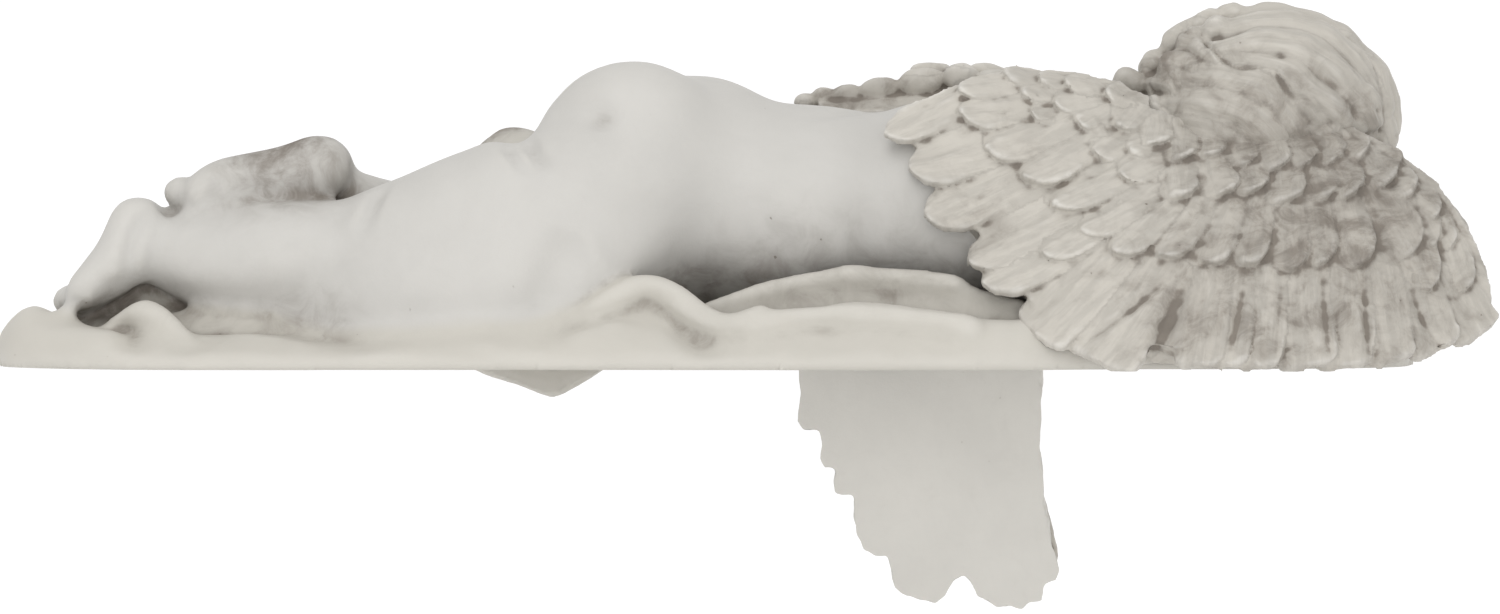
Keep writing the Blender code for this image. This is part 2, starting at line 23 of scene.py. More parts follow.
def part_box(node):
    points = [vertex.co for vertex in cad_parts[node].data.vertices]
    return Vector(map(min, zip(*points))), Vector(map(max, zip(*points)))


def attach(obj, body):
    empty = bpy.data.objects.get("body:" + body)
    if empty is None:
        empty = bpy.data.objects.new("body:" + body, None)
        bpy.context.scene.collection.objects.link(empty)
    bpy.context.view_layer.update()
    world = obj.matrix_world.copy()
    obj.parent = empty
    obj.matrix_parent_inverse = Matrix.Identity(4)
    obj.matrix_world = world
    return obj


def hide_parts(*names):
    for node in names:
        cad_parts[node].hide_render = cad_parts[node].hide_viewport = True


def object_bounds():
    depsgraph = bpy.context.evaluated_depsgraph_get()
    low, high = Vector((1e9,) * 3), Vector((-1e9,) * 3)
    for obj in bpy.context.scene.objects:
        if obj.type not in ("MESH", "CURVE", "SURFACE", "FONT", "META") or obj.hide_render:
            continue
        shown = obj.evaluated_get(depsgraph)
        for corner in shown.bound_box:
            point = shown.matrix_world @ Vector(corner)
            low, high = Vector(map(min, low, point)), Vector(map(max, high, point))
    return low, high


bl_info = {
    "name": "Sleeping Angel Statue",
    "version": (1, 0, 0),
    "blender": (4, 5, 0),
    "location": "3D View > Sidebar > Angel",
    "description": "Adds a sleeping angel shelf statue in antique stone finish",
    "category": "Add Mesh",
}

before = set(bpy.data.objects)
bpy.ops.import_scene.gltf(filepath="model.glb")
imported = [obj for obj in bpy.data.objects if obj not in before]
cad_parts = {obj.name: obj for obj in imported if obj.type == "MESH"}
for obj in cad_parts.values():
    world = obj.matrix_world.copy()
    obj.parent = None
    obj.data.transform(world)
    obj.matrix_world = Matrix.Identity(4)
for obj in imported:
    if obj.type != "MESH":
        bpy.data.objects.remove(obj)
CAST = "sleeping_angel"
CAST_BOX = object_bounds()

# The pose and the carving are written in shares: one is a 394th of the statue's length.
SHARES_IN_LENGTH = 394
LOW_CORNER, HIGH_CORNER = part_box(CAST)
SHARE = round((HIGH_CORNER.x - LOW_CORNER.x) / SHARES_IN_LENGTH, 4)

# The shelf's front edge, and the thickness of each wing's sheet, in metres.
SHELF_EDGE = 0.057
HANGING_THICKNESS = 0.008
NEAR_WING_THICKNESS = 0.011

# Rays a point casts to measure how much sky reaches it for the painted shade, where they start, and how
# far they look for the rest of the cast, in metres.
SHELTER_RAYS = 40
SHELTER_START = 0.0015
SHELTER_REACH = 0.05

# Spots darkened thickly, partly wash left on thickly and partly painted shade under the belly and in the
# gaps by the near calf and foot: centre and reach in shares, and how strongly.
STAINS_AND_PAINTED_SHADE = (
    ((-125, -17, 54), 21, 1.15),
    ((-150, -26, 44), 10, 0.20),
    ((-172, -28, 24), 14, 0.18),
    ((-160, -32, 16), 13, 0.12),
    ((-116, -42, 11), 10, 0.5),
    ((-66, 42, 61), 12, 1.5),
    ((-38.4, -30, 64.5), 4.6, 0.62),
    ((-146, -38, 12), 14, 0.35),
    ((-108, -46, 12), 12, 0.30),
    ((-10, -34, 18), 16, 0.40),
    ((10, -36, 22), 20, 0.40),
    ((40, -36, 24), 22, 0.40),
    ((22, 18, 70), 12, 0.50),
    ((44, 16, 76), 14, 0.30),
    ((140, -45, 45), 30, 0.30),
        ((135, -36, 54), 30, 0.54),
    ((165, -40, 44), 26, 0.45),
    ((110, -66, 14), 12, 0.45),
    ((150, -64, 14), 34, 0.50),
    ((15, 27, 71), 5, 0.60),
    ((110, -12, 83), 11, 1.10),
    ((119, -18, 74), 8, 0.30),
    ((122, -26, 64), 14, 0.25),
    ((160, -22, 62), 16, 0.45),
)


class AngelSizes(PropertyGroup):
    """How finely each part of the carving is made."""

    figure_grain: FloatProperty(
        name="Figure grain",
        description="Voxel size of the figure and its cloth",
        default=0.00115,
        min=0.0005,
        unit="LENGTH",
        precision=5,
    )
    wing_grain: FloatProperty(
        name="Wing grain",
        description="Voxel size of the wings",
        default=0.00062,
        min=0.0003,
        unit="LENGTH",
        precision=5,
    )
    head_grain: FloatProperty(
        name="Head grain",
        description="Voxel size of the head and its hair",
        default=0.0006,
        min=0.0003,
        unit="LENGTH",
        precision=5,
    )
    feather_thickness: FloatProperty(
        name="Feather thickness",
        description="Thickness of one carved feather",
        default=0.0028,
        min=0.001,
        unit="LENGTH",
        precision=5,
    )
    triangle_limit: IntProperty(
        name="Triangles a piece",
        description="Most triangles that one piece keeps",
        default=190000,
        min=20000,
    )


class StoneColours(PropertyGroup):
    """The antique stone finish."""

    skin: FloatVectorProperty(
        name="Skin",
        description="Stone colour of the bare figure",
        subtype="COLOR",
        size=3,
        default=(0.475, 0.463, 0.438),
    )
    cloth: FloatVectorProperty(
        name="Cloth",
        description="Stone colour of the cloth",
        subtype="COLOR",
        size=3,
        default=(0.460, 0.440, 0.396),
    )
    plumage: FloatVectorProperty(
        name="Wings and hair",
        description="Stone colour of the wings and the hair",
        subtype="COLOR",
        size=3,
        default=(0.455, 0.430, 0.385),
    )
    # Partly wear and partly painted highlight: the lighter colour that raised edges are painted.
    worn_and_highlit: FloatVectorProperty(
        name="Worn edges",
        description="Stone colour where raised edges have been rubbed clean",
        subtype="COLOR",
        size=3,
        default=(0.560, 0.540, 0.500),
    )
    # Painted light: the plain back gets the same stone painted lighter, as if lit, where it lies in
    # shade under the cast.
    hanging_back: FloatVectorProperty(
        name="Hanging back",
        description="Stone colour of the far wing's plain back",
        subtype="COLOR",
        size=3,
        default=(0.640, 0.625, 0.590),
    )
    # This dark colour is the wash in the hollows and also the painted shade in sheltered places and
    # listed spots.
    wash_and_shade: FloatVectorProperty(
        name="Wash and shade",
        description="Colour of the antiquing wash in the hollows",
        subtype="COLOR",
        size=3,
        default=(0.150, 0.128, 0.106),
    )


class StageSettings(PropertyGroup):
    """Camera, floor and light."""

    camera_distance: FloatProperty(
        name="Camera distance",
        description="How far the camera stands from the middle of the statue",
        default=1.3,
        min=0.5,
        unit="LENGTH",
    )
    camera_height: FloatProperty(
        name="Camera height",
        description="Height of the camera above the seat",
        default=0.040,
        unit="LENGTH",
    )
    framed_width: FloatProperty(
        name="Framed width",
        description="Width that the picture covers at the middle of the statue",
        default=0.402,
        min=0.1,
        unit="LENGTH",
    )
    sky: FloatProperty(
        name="Sky strength",
        description="Strength of the white light from all round",
        default=0.90,
        min=0.0,
    )
    fill_power: FloatProperty(
        name="Fill light",
        description="Power of the soft light from the camera's side",
        default=9.0,
        min=0.0,
        subtype="POWER",
    )
    key_power: FloatProperty(
        name="Key light",
        description="Power of the soft light above the statue",
        default=2.2,
        min=0.0,
        subtype="POWER",
    )


# Clay: simple masses heaped up and fused.


def shares(x, y, z):
    """A point of the pose, in metres."""
    return Vector((x, y, z)) * SHARE


def pour(clay, shape):
    """Add a small finished shape to the heap and free it."""
    scrap = bpy.data.meshes.new("scrap")
    shape.to_mesh(scrap)
    shape.free()
    clay.from_mesh(scrap)
    bpy.data.meshes.remove(scrap)


def ball(shape, centre, radii, turn=(0.0, 0.0, 0.0), detail=3):
    """An ellipsoid: centre and radii in shares, turned by degrees about X, Y and Z."""
    angles = Euler([math.radians(angle) for angle in turn])
    place = Matrix.LocRotScale(shares(*centre), angles, shares(*radii))
    bmesh.ops.create_icosphere(shape, subdivisions=detail, radius=1.0, matrix=place)


def rod(shape, start, end, start_radius, end_radius):
    """A cone between two points in metres, closed at both ends."""
    along = end - start
    place = Matrix.LocRotScale((start + end) / 2, along.to_track_quat("Z", "Y"), None)
    bmesh.ops.create_cone(
        shape,
        cap_ends=True,
        segments=20,
        radius1=start_radius,
        radius2=end_radius,
        depth=along.length,
        matrix=place,
    )


def curve_points(points, positions):
    """Points on the smooth curve through rows of numbers, at real-valued indices."""
    knots = np.array(points, float)
    last = len(knots) - 1
    positions = np.clip(np.asarray(positions, float), 0, last)
    index = np.minimum(positions.astype(int), last - 1)
    t = (positions - index)[..., None]
    before, start, end, after = (knots[np.clip(index + k, 0, last)] for k in (-1, 0, 1, 2))
    rise = t * t * (3 - 2 * t)
    leaving = (end - before) / 2 * (t * (1 - t) ** 2)
    arriving = (after - start) / 2 * (t * t * (1 - t))
    return start * (1 - rise) + end * rise + leaving - arriving


def along_path(path, steps):
    """A path's rows, sampled smoothly some steps to each stretch."""
    return curve_points(path, np.linspace(0, len(path) - 1, (len(path) - 1) * steps + 1))


def limb(clay, path, steps=3):
    """A rounded limb through rows of x, y, z and radius, in shares."""
    shape = bmesh.new()
    rows = along_path(path, steps)
    for row in rows:
        ball(shape, row[:3], (row[3],) * 3, detail=2)
    for first, second in zip(rows, rows[1:]):
        start, end = shares(*first[:3]), shares(*second[:3])
        if (end - start).length > 1e-6:
            rod(shape, start, end, first[3] * SHARE, second[3] * SHARE)
    pour(clay, shape)


def masses(clay, rows):
    """Single ellipsoids from rows of centre, radii and perhaps a turn."""
    shape = bmesh.new()
    for row in rows:
        ball(shape, *row)
    pour(clay, shape)


def object_from(clay, name):
    """A bmesh made an object of the scene."""
    mesh = bpy.data.meshes.new(name)
    clay.to_mesh(mesh)
    clay.free()
    thing = bpy.data.objects.new(name, mesh)
    bpy.context.scene.collection.objects.link(thing)
    return thing


def settle(thing):
    """Apply an object's modifiers to its own mesh."""
    graph = bpy.context.evaluated_depsgraph_get()
    mesh = bpy.data.meshes.new_from_object(thing.evaluated_get(graph))
    thing.modifiers.clear()
    old = thing.data
    thing.data = mesh
    bpy.data.meshes.remove(old)


def fuse(thing, voxel, smoothing):
    """Fuse an object's overlapping shells into one skin and soften its junctions."""
    remesh = thing.modifiers.new("fuse", "REMESH")
    remesh.mode = "VOXEL"
    remesh.voxel_size = voxel
    if smoothing:
        soften = thing.modifiers.new("soften", "SMOOTH")
        soften.factor = 0.5
        soften.iterations = smoothing
    settle(thing)


def thin_out(thing, limit):
    """Keep a piece under a number of triangles."""
    triangles = sum(len(face.vertices) - 2 for face in thing.data.polygons)
    if triangles > limit:
        thin = thing.modifiers.new("thin", "DECIMATE")
        thin.ratio = limit / triangles
        settle(thing)


def read_points(mesh):
    """A mesh's vertices as rows of x, y and z in metres."""
    flat = np.empty(len(mesh.vertices) * 3)
    mesh.vertices.foreach_get("co", flat)
    return flat.reshape(-1, 3)


def write_points(mesh, points):
    """Put rows of x, y and z back as a mesh's vertices."""
    mesh.vertices.foreach_set("co", np.ascontiguousarray(points).ravel())
    mesh.update()


def read_normals(mesh):
    """A mesh's vertex normals as rows of x, y and z."""
    flat = np.empty(len(mesh.vertices) * 3)
    mesh.vertices.foreach_get("normal", flat)
    return flat.reshape(-1, 3)


def edge_ends(mesh):
    """The two vertices of each edge, and how many edges each vertex has."""
    ends = np.empty(len(mesh.edges) * 2, np.int64)
    mesh.edges.foreach_get("vertices", ends)
    degree = np.maximum(np.bincount(ends, minlength=len(mesh.vertices)), 1)
    return ends.reshape(-1, 2), degree


def mark(thing, name, values):
    """Store one number for each vertex of a piece."""
    layer = thing.data.attributes.new(name, "FLOAT", "POINT")
    layer.data.foreach_set("value", values)


def drop_hollows(thing):
    """Keep an object's largest shell and drop the hollows shut inside it."""
    mesh = thing.data
    count = len(mesh.vertices)
    ends = edge_ends(mesh)[0]
    label = np.arange(count)
    while True:
        lowest = label.copy()
        np.minimum.at(lowest, ends[:, 0], label[ends[:, 1]])
        np.minimum.at(lowest, ends[:, 1], label[ends[:, 0]])
        lowest = lowest[lowest]
        if (lowest == label).all():
            break
        label = lowest
    main_label = np.bincount(label, minlength=count).argmax()
    if (label != main_label).any():
        clay = bmesh.new()
        clay.from_mesh(mesh)
        clay.verts.ensure_lookup_table()
        scrap = [clay.verts[k] for k in np.flatnonzero(label != main_label)]
        bmesh.ops.delete(clay, geom=scrap, context="VERTS")
        clay.to_mesh(mesh)
        clay.free()


def rest_on_shelf(thing):
    """Press whatever dips below the shelf's top up to it."""
    points = read_points(thing.data)
    points[:, 2] = np.maximum(points[:, 2], 0.0)
    write_points(thing.data, points)


def true_up(thing, reach):
    """Make the seat and the back of the hanging parts true flats."""
    points = read_points(thing.data)
    under = (abs(points[:, 2]) < reach) & (points[:, 1] < SHELF_EDGE + reach)
    behind = (abs(points[:, 1] - SHELF_EDGE) < reach) & (points[:, 2] < reach)
    points[under, 2] = 0.0
    points[behind, 1] = SHELF_EDGE
    write_points(thing.data, points)


def waves(points, wavelength, seed):
    """A smooth irregular field over points in metres: sines in scattered directions."""
    field = np.zeros(len(points))
    for k in range(7):
        turn = 2.4 * (k + 1) + seed
        lean = math.acos(1 - 2 * ((k * 0.618 + seed * 0.37) % 1.0))
        way = np.array(
            (math.sin(lean) * math.cos(turn), math.sin(lean) * math.sin(turn), math.cos(lean))
        )
        pitch = wavelength * (0.75 + 0.09 * k)
        field += np.sin(points @ way * (2 * math.pi / pitch) + turn * 3.1)
    return field / 2.6


def roughen(thing, rows):
    """Push a surface in and out by rows of wavelength, height in metres and seed."""
    points = read_points(thing.data)
    normals = read_normals(thing.data)
    push = sum(height * waves(points, wavelength, seed) for wavelength, height, seed in rows)
    write_points(thing.data, points + normals * push[:, None])


def press(thing, grooves):
    """Press grooves with soft lips into a surface: spine in metres, half width, depth in shares."""
    points = read_points(thing.data)
    normals = read_normals(thing.data)
    push = np.zeros(len(points))
    for spine, half_width, depth in grooves:
        near = ((points > spine.min(0) - 0.03) & (points < spine.max(0) + 0.03)).all(1)
        local = points[near]
        apart = np.full(len(local), 1e3)
        place = np.zeros(len(local))
        for k, spot in enumerate(spine):
            gap = ((local - spot) ** 2).sum(1)
            place = np.where(gap < apart, k / (len(spine) - 1), place)
            apart = np.minimum(apart, gap)
        fade = np.sin(math.pi * np.clip(place, 0.04, 0.96)) ** 0.5
        q = apart / (half_width * SHARE) ** 2
        push[near] -= depth * SHARE * fade * (1 - 0.5 * q) * np.exp(-q)
    write_points(thing.data, points + normals * push[:, None])


def crease(thing, rows):
    """Press grooves along paths of x, y and z in shares."""
    press(thing, [(along_path(path, 8) * SHARE, width, depth) for path, width, depth in rows])


def crease_seen(thing, rows):
    """Press grooves along paths of x and z, as they are seen on the side that faces -Y."""
    clay = bmesh.new()
    clay.from_mesh(thing.data)
    tree = BVHTree.FromBMesh(clay)
    clay.free()
    grooves = []
    for path, half_width, depth in rows:
        spine = []
        for x, z in along_path(path, 24) * SHARE:
            spot = tree.ray_cast(Vector((x, -0.3, z)), Vector((0, 1, 0)))[0]
            if spot is not None:
                spine.append(spot)
        if len(spine) > 1:
            grooves.append((np.array(spine), half_width, depth))
    press(thing, grooves)


def swell(thing, height):
    """Push a surface out by a height in metres, to make up for what smoothing wore away."""
    points = read_points(thing.data)
    write_points(thing.data, points + read_normals(thing.data) * height)


def refine(thing):
    """Round off a coarse skin."""
    finer = thing.modifiers.new("refine", "SUBSURF")
    finer.levels = 1
    finer.render_levels = 1
    settle(thing)


def triangle_tree(points, triangles):
    """A search tree over triangles, with the corners that its answers are read from."""
    tree = BVHTree.FromPolygons(points.tolist(), triangles.tolist(), all_triangles=True)
    return tree, points[triangles]


def sampled(tree, corners, values, points):
    """Values of triangles' corners, carried to points in metres from the nearest spots."""
    hits = [tree.find_nearest(point) for point in points.tolist()]
    spots = np.array([hit[0] for hit in hits])
    index = np.array([hit[2] for hit in hits])
    a, b, c = (corners[index, k] for k in range(3))
    area = np.cross(b - a, c - a)
    total = np.maximum((area * area).sum(1), 1e-30)
    first = (np.cross(b - spots, c - spots) * area).sum(1) / total
    second = (np.cross(c - spots, a - spots) * area).sum(1) / total
    weights = np.stack((first, second, 1 - first - second), 1)
    return (values[index] * weights[..., None]).sum(1)


@functools.cache
def painted_shade_field():
    """How much of the sky the rest of the cast hides from each point, for the shade painted into the
    stone: its tree, corners and values, worked out once.
    """
    mesh = bpy.data.objects[CAST].data
    clay = bmesh.new()
    clay.from_mesh(mesh)
    bmesh.ops.remove_doubles(clay, verts=clay.verts, dist=1e-6)
    bmesh.ops.triangulate(clay, faces=clay.faces)
    clay.normal_update()
    clay.verts.ensure_lookup_table()
    clay.verts.index_update()
    points = np.array([vert.co for vert in clay.verts])
    normals = np.array([vert.normal for vert in clay.verts])
    triangles = np.array([[vert.index for vert in face.verts] for face in clay.faces])
    ends = np.array([[vert.index for vert in edge.verts] for edge in clay.edges])
    clay.free()
    tree, corners = triangle_tree(points, triangles)
    k = np.arange(SHELTER_RAYS) + 0.5
    ring = np.sqrt(k / SHELTER_RAYS)
    turn = k * 2.39996
    local = np.stack((ring * np.cos(turn), ring * np.sin(turn), np.sqrt(1 - ring**2)), 1)
    values = np.zeros(len(points))
    for index, (point, normal) in enumerate(zip(points, normals)):
        up = Vector(normal)
        first = up.orthogonal().normalized()
        second = up.cross(first)
        ways = local @ np.array((first, second, up))
        start = Vector(point + normal * SHELTER_START)
        struck = 0.0
        for way in ways.tolist():
            distance = tree.ray_cast(start, way, SHELTER_REACH)[3]
            if distance is not None:
                struck += 1 - 0.6 * distance / SHELTER_REACH
        values[index] = struck / SHELTER_RAYS
    degree = np.maximum(np.bincount(ends.ravel(), minlength=len(points)), 1)
    values = relaxed(values[:, None], ends, degree, 2)
    return tree, corners, values[triangles]


def mark_stains_and_shade(thing):
    """Store where the colour is darkened thickly, as stains and as painted shade, from the rows of
    STAINS_AND_PAINTED_SHADE.
    """
    points = read_points(thing.data)
    clean = np.ones(len(points))
    for centre, reach, strength in STAINS_AND_PAINTED_SHADE:
        far = ((points - np.array(shares(*centre))) ** 2).sum(1) / (reach * SHARE) ** 2
        clean *= 1 - strength * np.exp(-far)
    mark(thing, "stained_and_shaded", 1 - clean)


def mark_painted_shade(thing, field):
    """Store how much sky each point of a piece has hidden from it, from 0 to 1, as painted shade, with
    the spots of stain and painted shade.
    """
    tree, corners, values = field
    mark(thing, "painted_shade", sampled(tree, corners, values, read_points(thing.data))[:, 0])
    mark_stains_and_shade(thing)


def relaxed(values, ends, degree, steps):
    """Values of a mesh's vertices, evened out with their neighbours' some times over."""
    for _ in range(steps):
        sums = np.empty_like(values)
        for axis in range(values.shape[1]):
            column = values[:, axis]
            sums[:, axis] = np.bincount(ends[:, 0], column[ends[:, 1]], len(values))
            sums[:, axis] += np.bincount(ends[:, 1], column[ends[:, 0]], len(values))
        values = 0.4 * values + 0.6 * sums / degree[:, None]
    return values


# How far from both flesh and cloth a seam is softened, in metres, and in how many steps.
SEAM_REACH = 0.0065
SEAM_STEPS = 150


def soften_seam(thing, from_flesh, from_cloth):
    """Let the thigh run softly into the cloth in front of it, and the hip into the waist."""
    points = read_points(thing.data)
    x, y, z = (points / SHARE).T
    seam = np.exp(-(((from_flesh + from_cloth) / SEAM_REACH) ** 2))
    front = np.clip((-42 - x) / 8, 0, 1) * np.clip((-28 - y) / 6, 0, 1) * np.clip((28 - z) / 6, 0, 1)
    flank = np.exp(-(((x + 16) / 17) ** 2) - ((z - 42) / 16) ** 2) * np.clip((-12 - y) / 6, 0, 1)
    share = np.clip(seam * front + flank, 0, 1)[:, None]
    ends, degree = edge_ends(thing.data)
    write_points(thing.data, points * (1 - share) + relaxed(points, ends, degree, SEAM_STEPS) * share)


def mark_hollows(thing):
    """Store how hollow the surface is, in millimetres, at a fine and at a broad scale."""
    mesh = thing.data
    points, normals = read_points(mesh), read_normals(mesh)
    ends, degree = edge_ends(mesh)
    fine = relaxed(points, ends, degree, 6)
    middle = relaxed(fine, ends, degree, 26)
    broad = relaxed(middle, ends, degree, 60)
    for name, smooth in (("hollow_fine", fine), ("hollow_middle", middle), ("hollow_broad", broad)):
        depth = ((smooth - points) * normals).sum(1) * 1000
        mark(thing, name, relaxed(depth[:, None], ends, degree, 1)[:, 0])


def finish_piece(thing, material):
    """Give a finished piece its material, body, slot and smooth shading."""
    thing.data.materials.clear()
    thing.data.materials.append(material)
    thing.data.shade_smooth()
    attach(thing, "root")


# The stone.


def group_sockets(tree, inputs, outputs):
    """Make a node group's sockets from rows of name, kind and default."""
    for in_out, rows in (("INPUT", inputs), ("OUTPUT", outputs)):
        for name, kind, default in rows:
            socket = tree.interface.new_socket(name, in_out=in_out, socket_type=kind)
            if default is not None:
                socket.default_value = default


def node(tree, kind, place, **settings):
    """A node of a tree at a place, with its settings and its inputs' values."""
    made = tree.nodes.new(kind)
    made.location = place
    for name, value in settings.items():
        if name == "values":
            for socket, number in value.items():
                made.inputs[socket].default_value = number
        else:
            setattr(made, name, value)
    return made


def plug(tree, socket, value):
    """Give an input socket a plain value, or link another socket to it."""
    if isinstance(value, bpy.types.NodeSocket):
        tree.links.new(value, socket)
    else:
        socket.default_value = value


def attribute(tree, place, name):
    """The number that a piece's vertices store under a name."""
    return node(tree, "ShaderNodeAttribute", place, attribute_name=name).outputs["Fac"]


def noise(tree, place, coords, scale, detail, rough, distortion=0.0):
    """A noise texture's value at some coordinates."""
    values = {"Scale": scale, "Detail": detail, "Roughness": rough, "Distortion": distortion}
    made = node(tree, "ShaderNodeTexNoise", place, values=values)
    plug(tree, made.inputs["Vector"], coords)
    return made.outputs["Fac"]


def ramped(tree, place, value, low, high, to_low=0.0, to_high=1.0):
    """A value eased and clamped from one range to another."""
    values = {"From Min": low, "From Max": high, "To Min": to_low, "To Max": to_high}
    made = node(
        tree, "ShaderNodeMapRange", place, interpolation_type="SMOOTHSTEP", values=values
    )
    plug(tree, made.inputs["Value"], value)
    return made.outputs["Result"]


def maths(tree, place, operation, first, second):
    """The result of an operation on two numbers or sockets."""
    made = node(tree, "ShaderNodeMath", place, operation=operation)
    plug(tree, made.inputs[0], first)
    plug(tree, made.inputs[1], second)
    return made.outputs[0]


def mixed(tree, place, blend, share, first, second):
    """Two colours mixed by a share."""
    made = node(tree, "ShaderNodeMix", place, data_type="RGBA", blend_type=blend)
    for name, value in (("Factor", share), ("A", first), ("B", second)):
        plug(tree, made.inputs[name], value)
    return made.outputs["Result"]


# Where the wash gathers in hollows, and, in the last row, where shade is painted in places that the
# rest of the cast hides from the sky: an attribute, the amount that scales it, and its range.
HOLLOWS = (
    ("hollow_fine", "Fine amount", 0.02, 0.34),
    ("hollow_middle", "Fine amount", 0.06, 1.1),
    ("hollow_broad", "Broad amount", 0.15, 2.6),
    ("painted_shade", "Painted shade amount", 0.34, 0.95),
)


def antique_wash_and_shade():
    """The node group that lays wash in hollows, paints shade in sheltered places and listed spots,
    paints raised edges lighter as wear and painted highlight, mottles the stone and pits it.
    """
    tree = bpy.data.node_groups.new("antique wash", "ShaderNodeTree")
    group_sockets(
        tree,
        (
            ("Stone", "NodeSocketColor", (0.65, 0.63, 0.60, 1.0)),
            ("Wash and shade", "NodeSocketColor", (0.20, 0.175, 0.145, 1.0)),
            ("Worn and highlit", "NodeSocketColor", (0.56, 0.54, 0.50, 1.0)),
            ("Fine amount", "NodeSocketFloat", 1.0),
            ("Broad amount", "NodeSocketFloat", 0.5),
            ("Painted shade amount", "NodeSocketFloat", 0.5),
            ("Film", "NodeSocketFloat", 0.05),
            ("Pits", "NodeSocketFloat", 0.5),
            ("Most wash", "NodeSocketFloat", 0.6),
            ("Wear and highlight amount", "NodeSocketFloat", 0.5),
        ),
        (
            ("Colour", "NodeSocketColor", None),
            ("Roughness", "NodeSocketFloat", None),
            ("Relief", "NodeSocketFloat", None),
        ),
    )
    given = node(tree, "NodeGroupInput", (-1500, 0)).outputs
    out = node(tree, "NodeGroupOutput", (900, 0)).inputs
    coords = node(tree, "ShaderNodeTexCoord", (-1500, -400)).outputs["Object"]
    cloudy = noise(tree, (-1250, -300), coords, 26.0, 5.0, 0.6, 0.4)
    patchy = noise(tree, (-1250, -560), coords, 120.0, 6.0, 0.65, 0.6)
    grain = noise(tree, (-1250, -820), coords, 900.0, 4.0, 0.7)
    fields = {}
    parts = []
    for k, (name, amount, low, high) in enumerate(HOLLOWS):
        height = 520 - 180 * k
        fields[name] = attribute(tree, (-1500, height), name)
        mask = ramped(tree, (-1250, height), fields[name], low, high)
        parts.append(maths(tree, (-1000, height), "MULTIPLY", mask, given[amount]))
    deep = parts[0]
    for k, part in enumerate(parts[1:]):
        deep = maths(tree, (-820 + 120 * k, 440), "ADD", deep, part)
    film_cloud = ramped(tree, (-1000, -260), cloudy, 0.38, 0.70)
    film_patch = ramped(tree, (-1000, -520), patchy, 0.45, 0.75)
    film_sum = maths(tree, (-820, -380), "ADD", film_cloud, film_patch)
    film = maths(tree, (-640, -260), "MULTIPLY", film_sum, given["Film"])
    uneven = ramped(tree, (-820, -60), patchy, 0.30, 0.70, 0.55, 1.20)
    held = maths(tree, (-460, 260), "MULTIPLY", deep, uneven)
    # Listed spots darkened, partly as stains and partly as painted shade.
    stain_and_shade = attribute(tree, (-640, 620), "stained_and_shaded")
    darkening = maths(tree, (-460, 560), "MULTIPLY", stain_and_shade, uneven)
    film_stain_and_shade = maths(tree, (-380, 100), "ADD", darkening, film)
    wash_and_shade = maths(tree, (-280, 160), "ADD", held, film_stain_and_shade)
    values = {"Scale": 330.0, "Randomness": 1.0}
    cells = node(tree, "ShaderNodeTexVoronoi", (-1250, -1080), values=values)
    plug(tree, cells.inputs["Vector"], coords)
    pit_size = ramped(tree, (-1000, -860), patchy, 0.55, 0.72, 0.0, 0.22)
    pit_gap = maths(tree, (-820, -960), "SUBTRACT", pit_size, cells.outputs["Distance"])
    pit = ramped(tree, (-640, -960), pit_gap, 0.0, 0.06)
    pits = maths(tree, (-460, -900), "MULTIPLY", pit, given["Pits"])
    mask = maths(tree, (-100, 60), "ADD", wash_and_shade, pits)
    settled = ramped(tree, (0, 160), mask, 0.0, 1.3)
    cover = maths(tree, (80, 60), "MULTIPLY", settled, given["Most wash"])
    # Raised edges painted lighter, partly as wear and partly as painted highlight.
    proud = ramped(tree, (-1250, 720), fields["hollow_fine"], -0.02, -0.30)
    prouder = ramped(tree, (-1250, 900), fields["hollow_middle"], -0.10, -1.1)
    edges = maths(tree, (-1000, 760), "MAXIMUM", proud, prouder)
    wear_and_highlight = maths(tree, (-820, 760), "MULTIPLY", edges, given["Wear and highlight amount"])
    tone = ramped(tree, (-280, -300), cloudy, 0.25, 0.75, 0.94, 1.03)
    fresh = mixed(tree, (80, -200), "MULTIPLY", 1.0, given["Stone"], tone)
    worn_and_highlit = mixed(tree, (200, -260), "MIX", wear_and_highlight, fresh, given["Worn and highlit"])
    colour = mixed(tree, (320, 60), "MIX", cover, worn_and_highlit, given["Wash and shade"])
    sheen = ramped(tree, (320, -120), cover, 0.0, 1.0, 0.58, 0.86)
    soft = maths(tree, (-460, -640), "MULTIPLY", patchy, 0.55)
    gritty = maths(tree, (-460, -760), "MULTIPLY", grain, 0.30)
    relief_sum = maths(tree, (-280, -700), "ADD", soft, gritty)
    relief = maths(tree, (-100, -760), "SUBTRACT", relief_sum, pits)
    for name, socket in (("Colour", colour), ("Roughness", sheen), ("Relief", relief)):
        plug(tree, out[name], socket)
    return tree


def carved_strands():
    """The node group of the fine lines that run along feathers and locks."""
    tree = bpy.data.node_groups.new("carved strands", "ShaderNodeTree")
    group_sockets(
        tree,
        (("Across", "NodeSocketFloat", 1.2), ("Along", "NodeSocketFloat", 0.10)),
        (("Strands", "NodeSocketFloat", None),),
    )
    given = node(tree, "NodeGroupInput", (-900, 0)).outputs
    out = node(tree, "NodeGroupOutput", (300, 0)).inputs
    flow = node(tree, "ShaderNodeAttribute", (-900, 200), attribute_name="flow")
    parts = node(tree, "ShaderNodeSeparateXYZ", (-700, 200))
    plug(tree, parts.inputs["Vector"], flow.outputs["Vector"])
    across = maths(tree, (-500, 260), "MULTIPLY", parts.outputs["X"], given["Across"])
    along = maths(tree, (-500, 100), "MULTIPLY", parts.outputs["Y"], given["Along"])
    joined = node(tree, "ShaderNodeCombineXYZ", (-320, 200))
    for axis, value in (("X", across), ("Y", along), ("Z", parts.outputs["Z"])):
        plug(tree, joined.inputs[axis], value)
    lines = noise(tree, (-140, 200), joined.outputs["Vector"], 1.0, 4.0, 0.62, 0.25)
    plug(tree, out["Strands"], ramped(tree, (80, 200), lines, 0.34, 0.66))
    return tree


def shared_group(name, build):
    """A node group by its name, built the first time it is asked for."""
    return bpy.data.node_groups.get(name) or build()


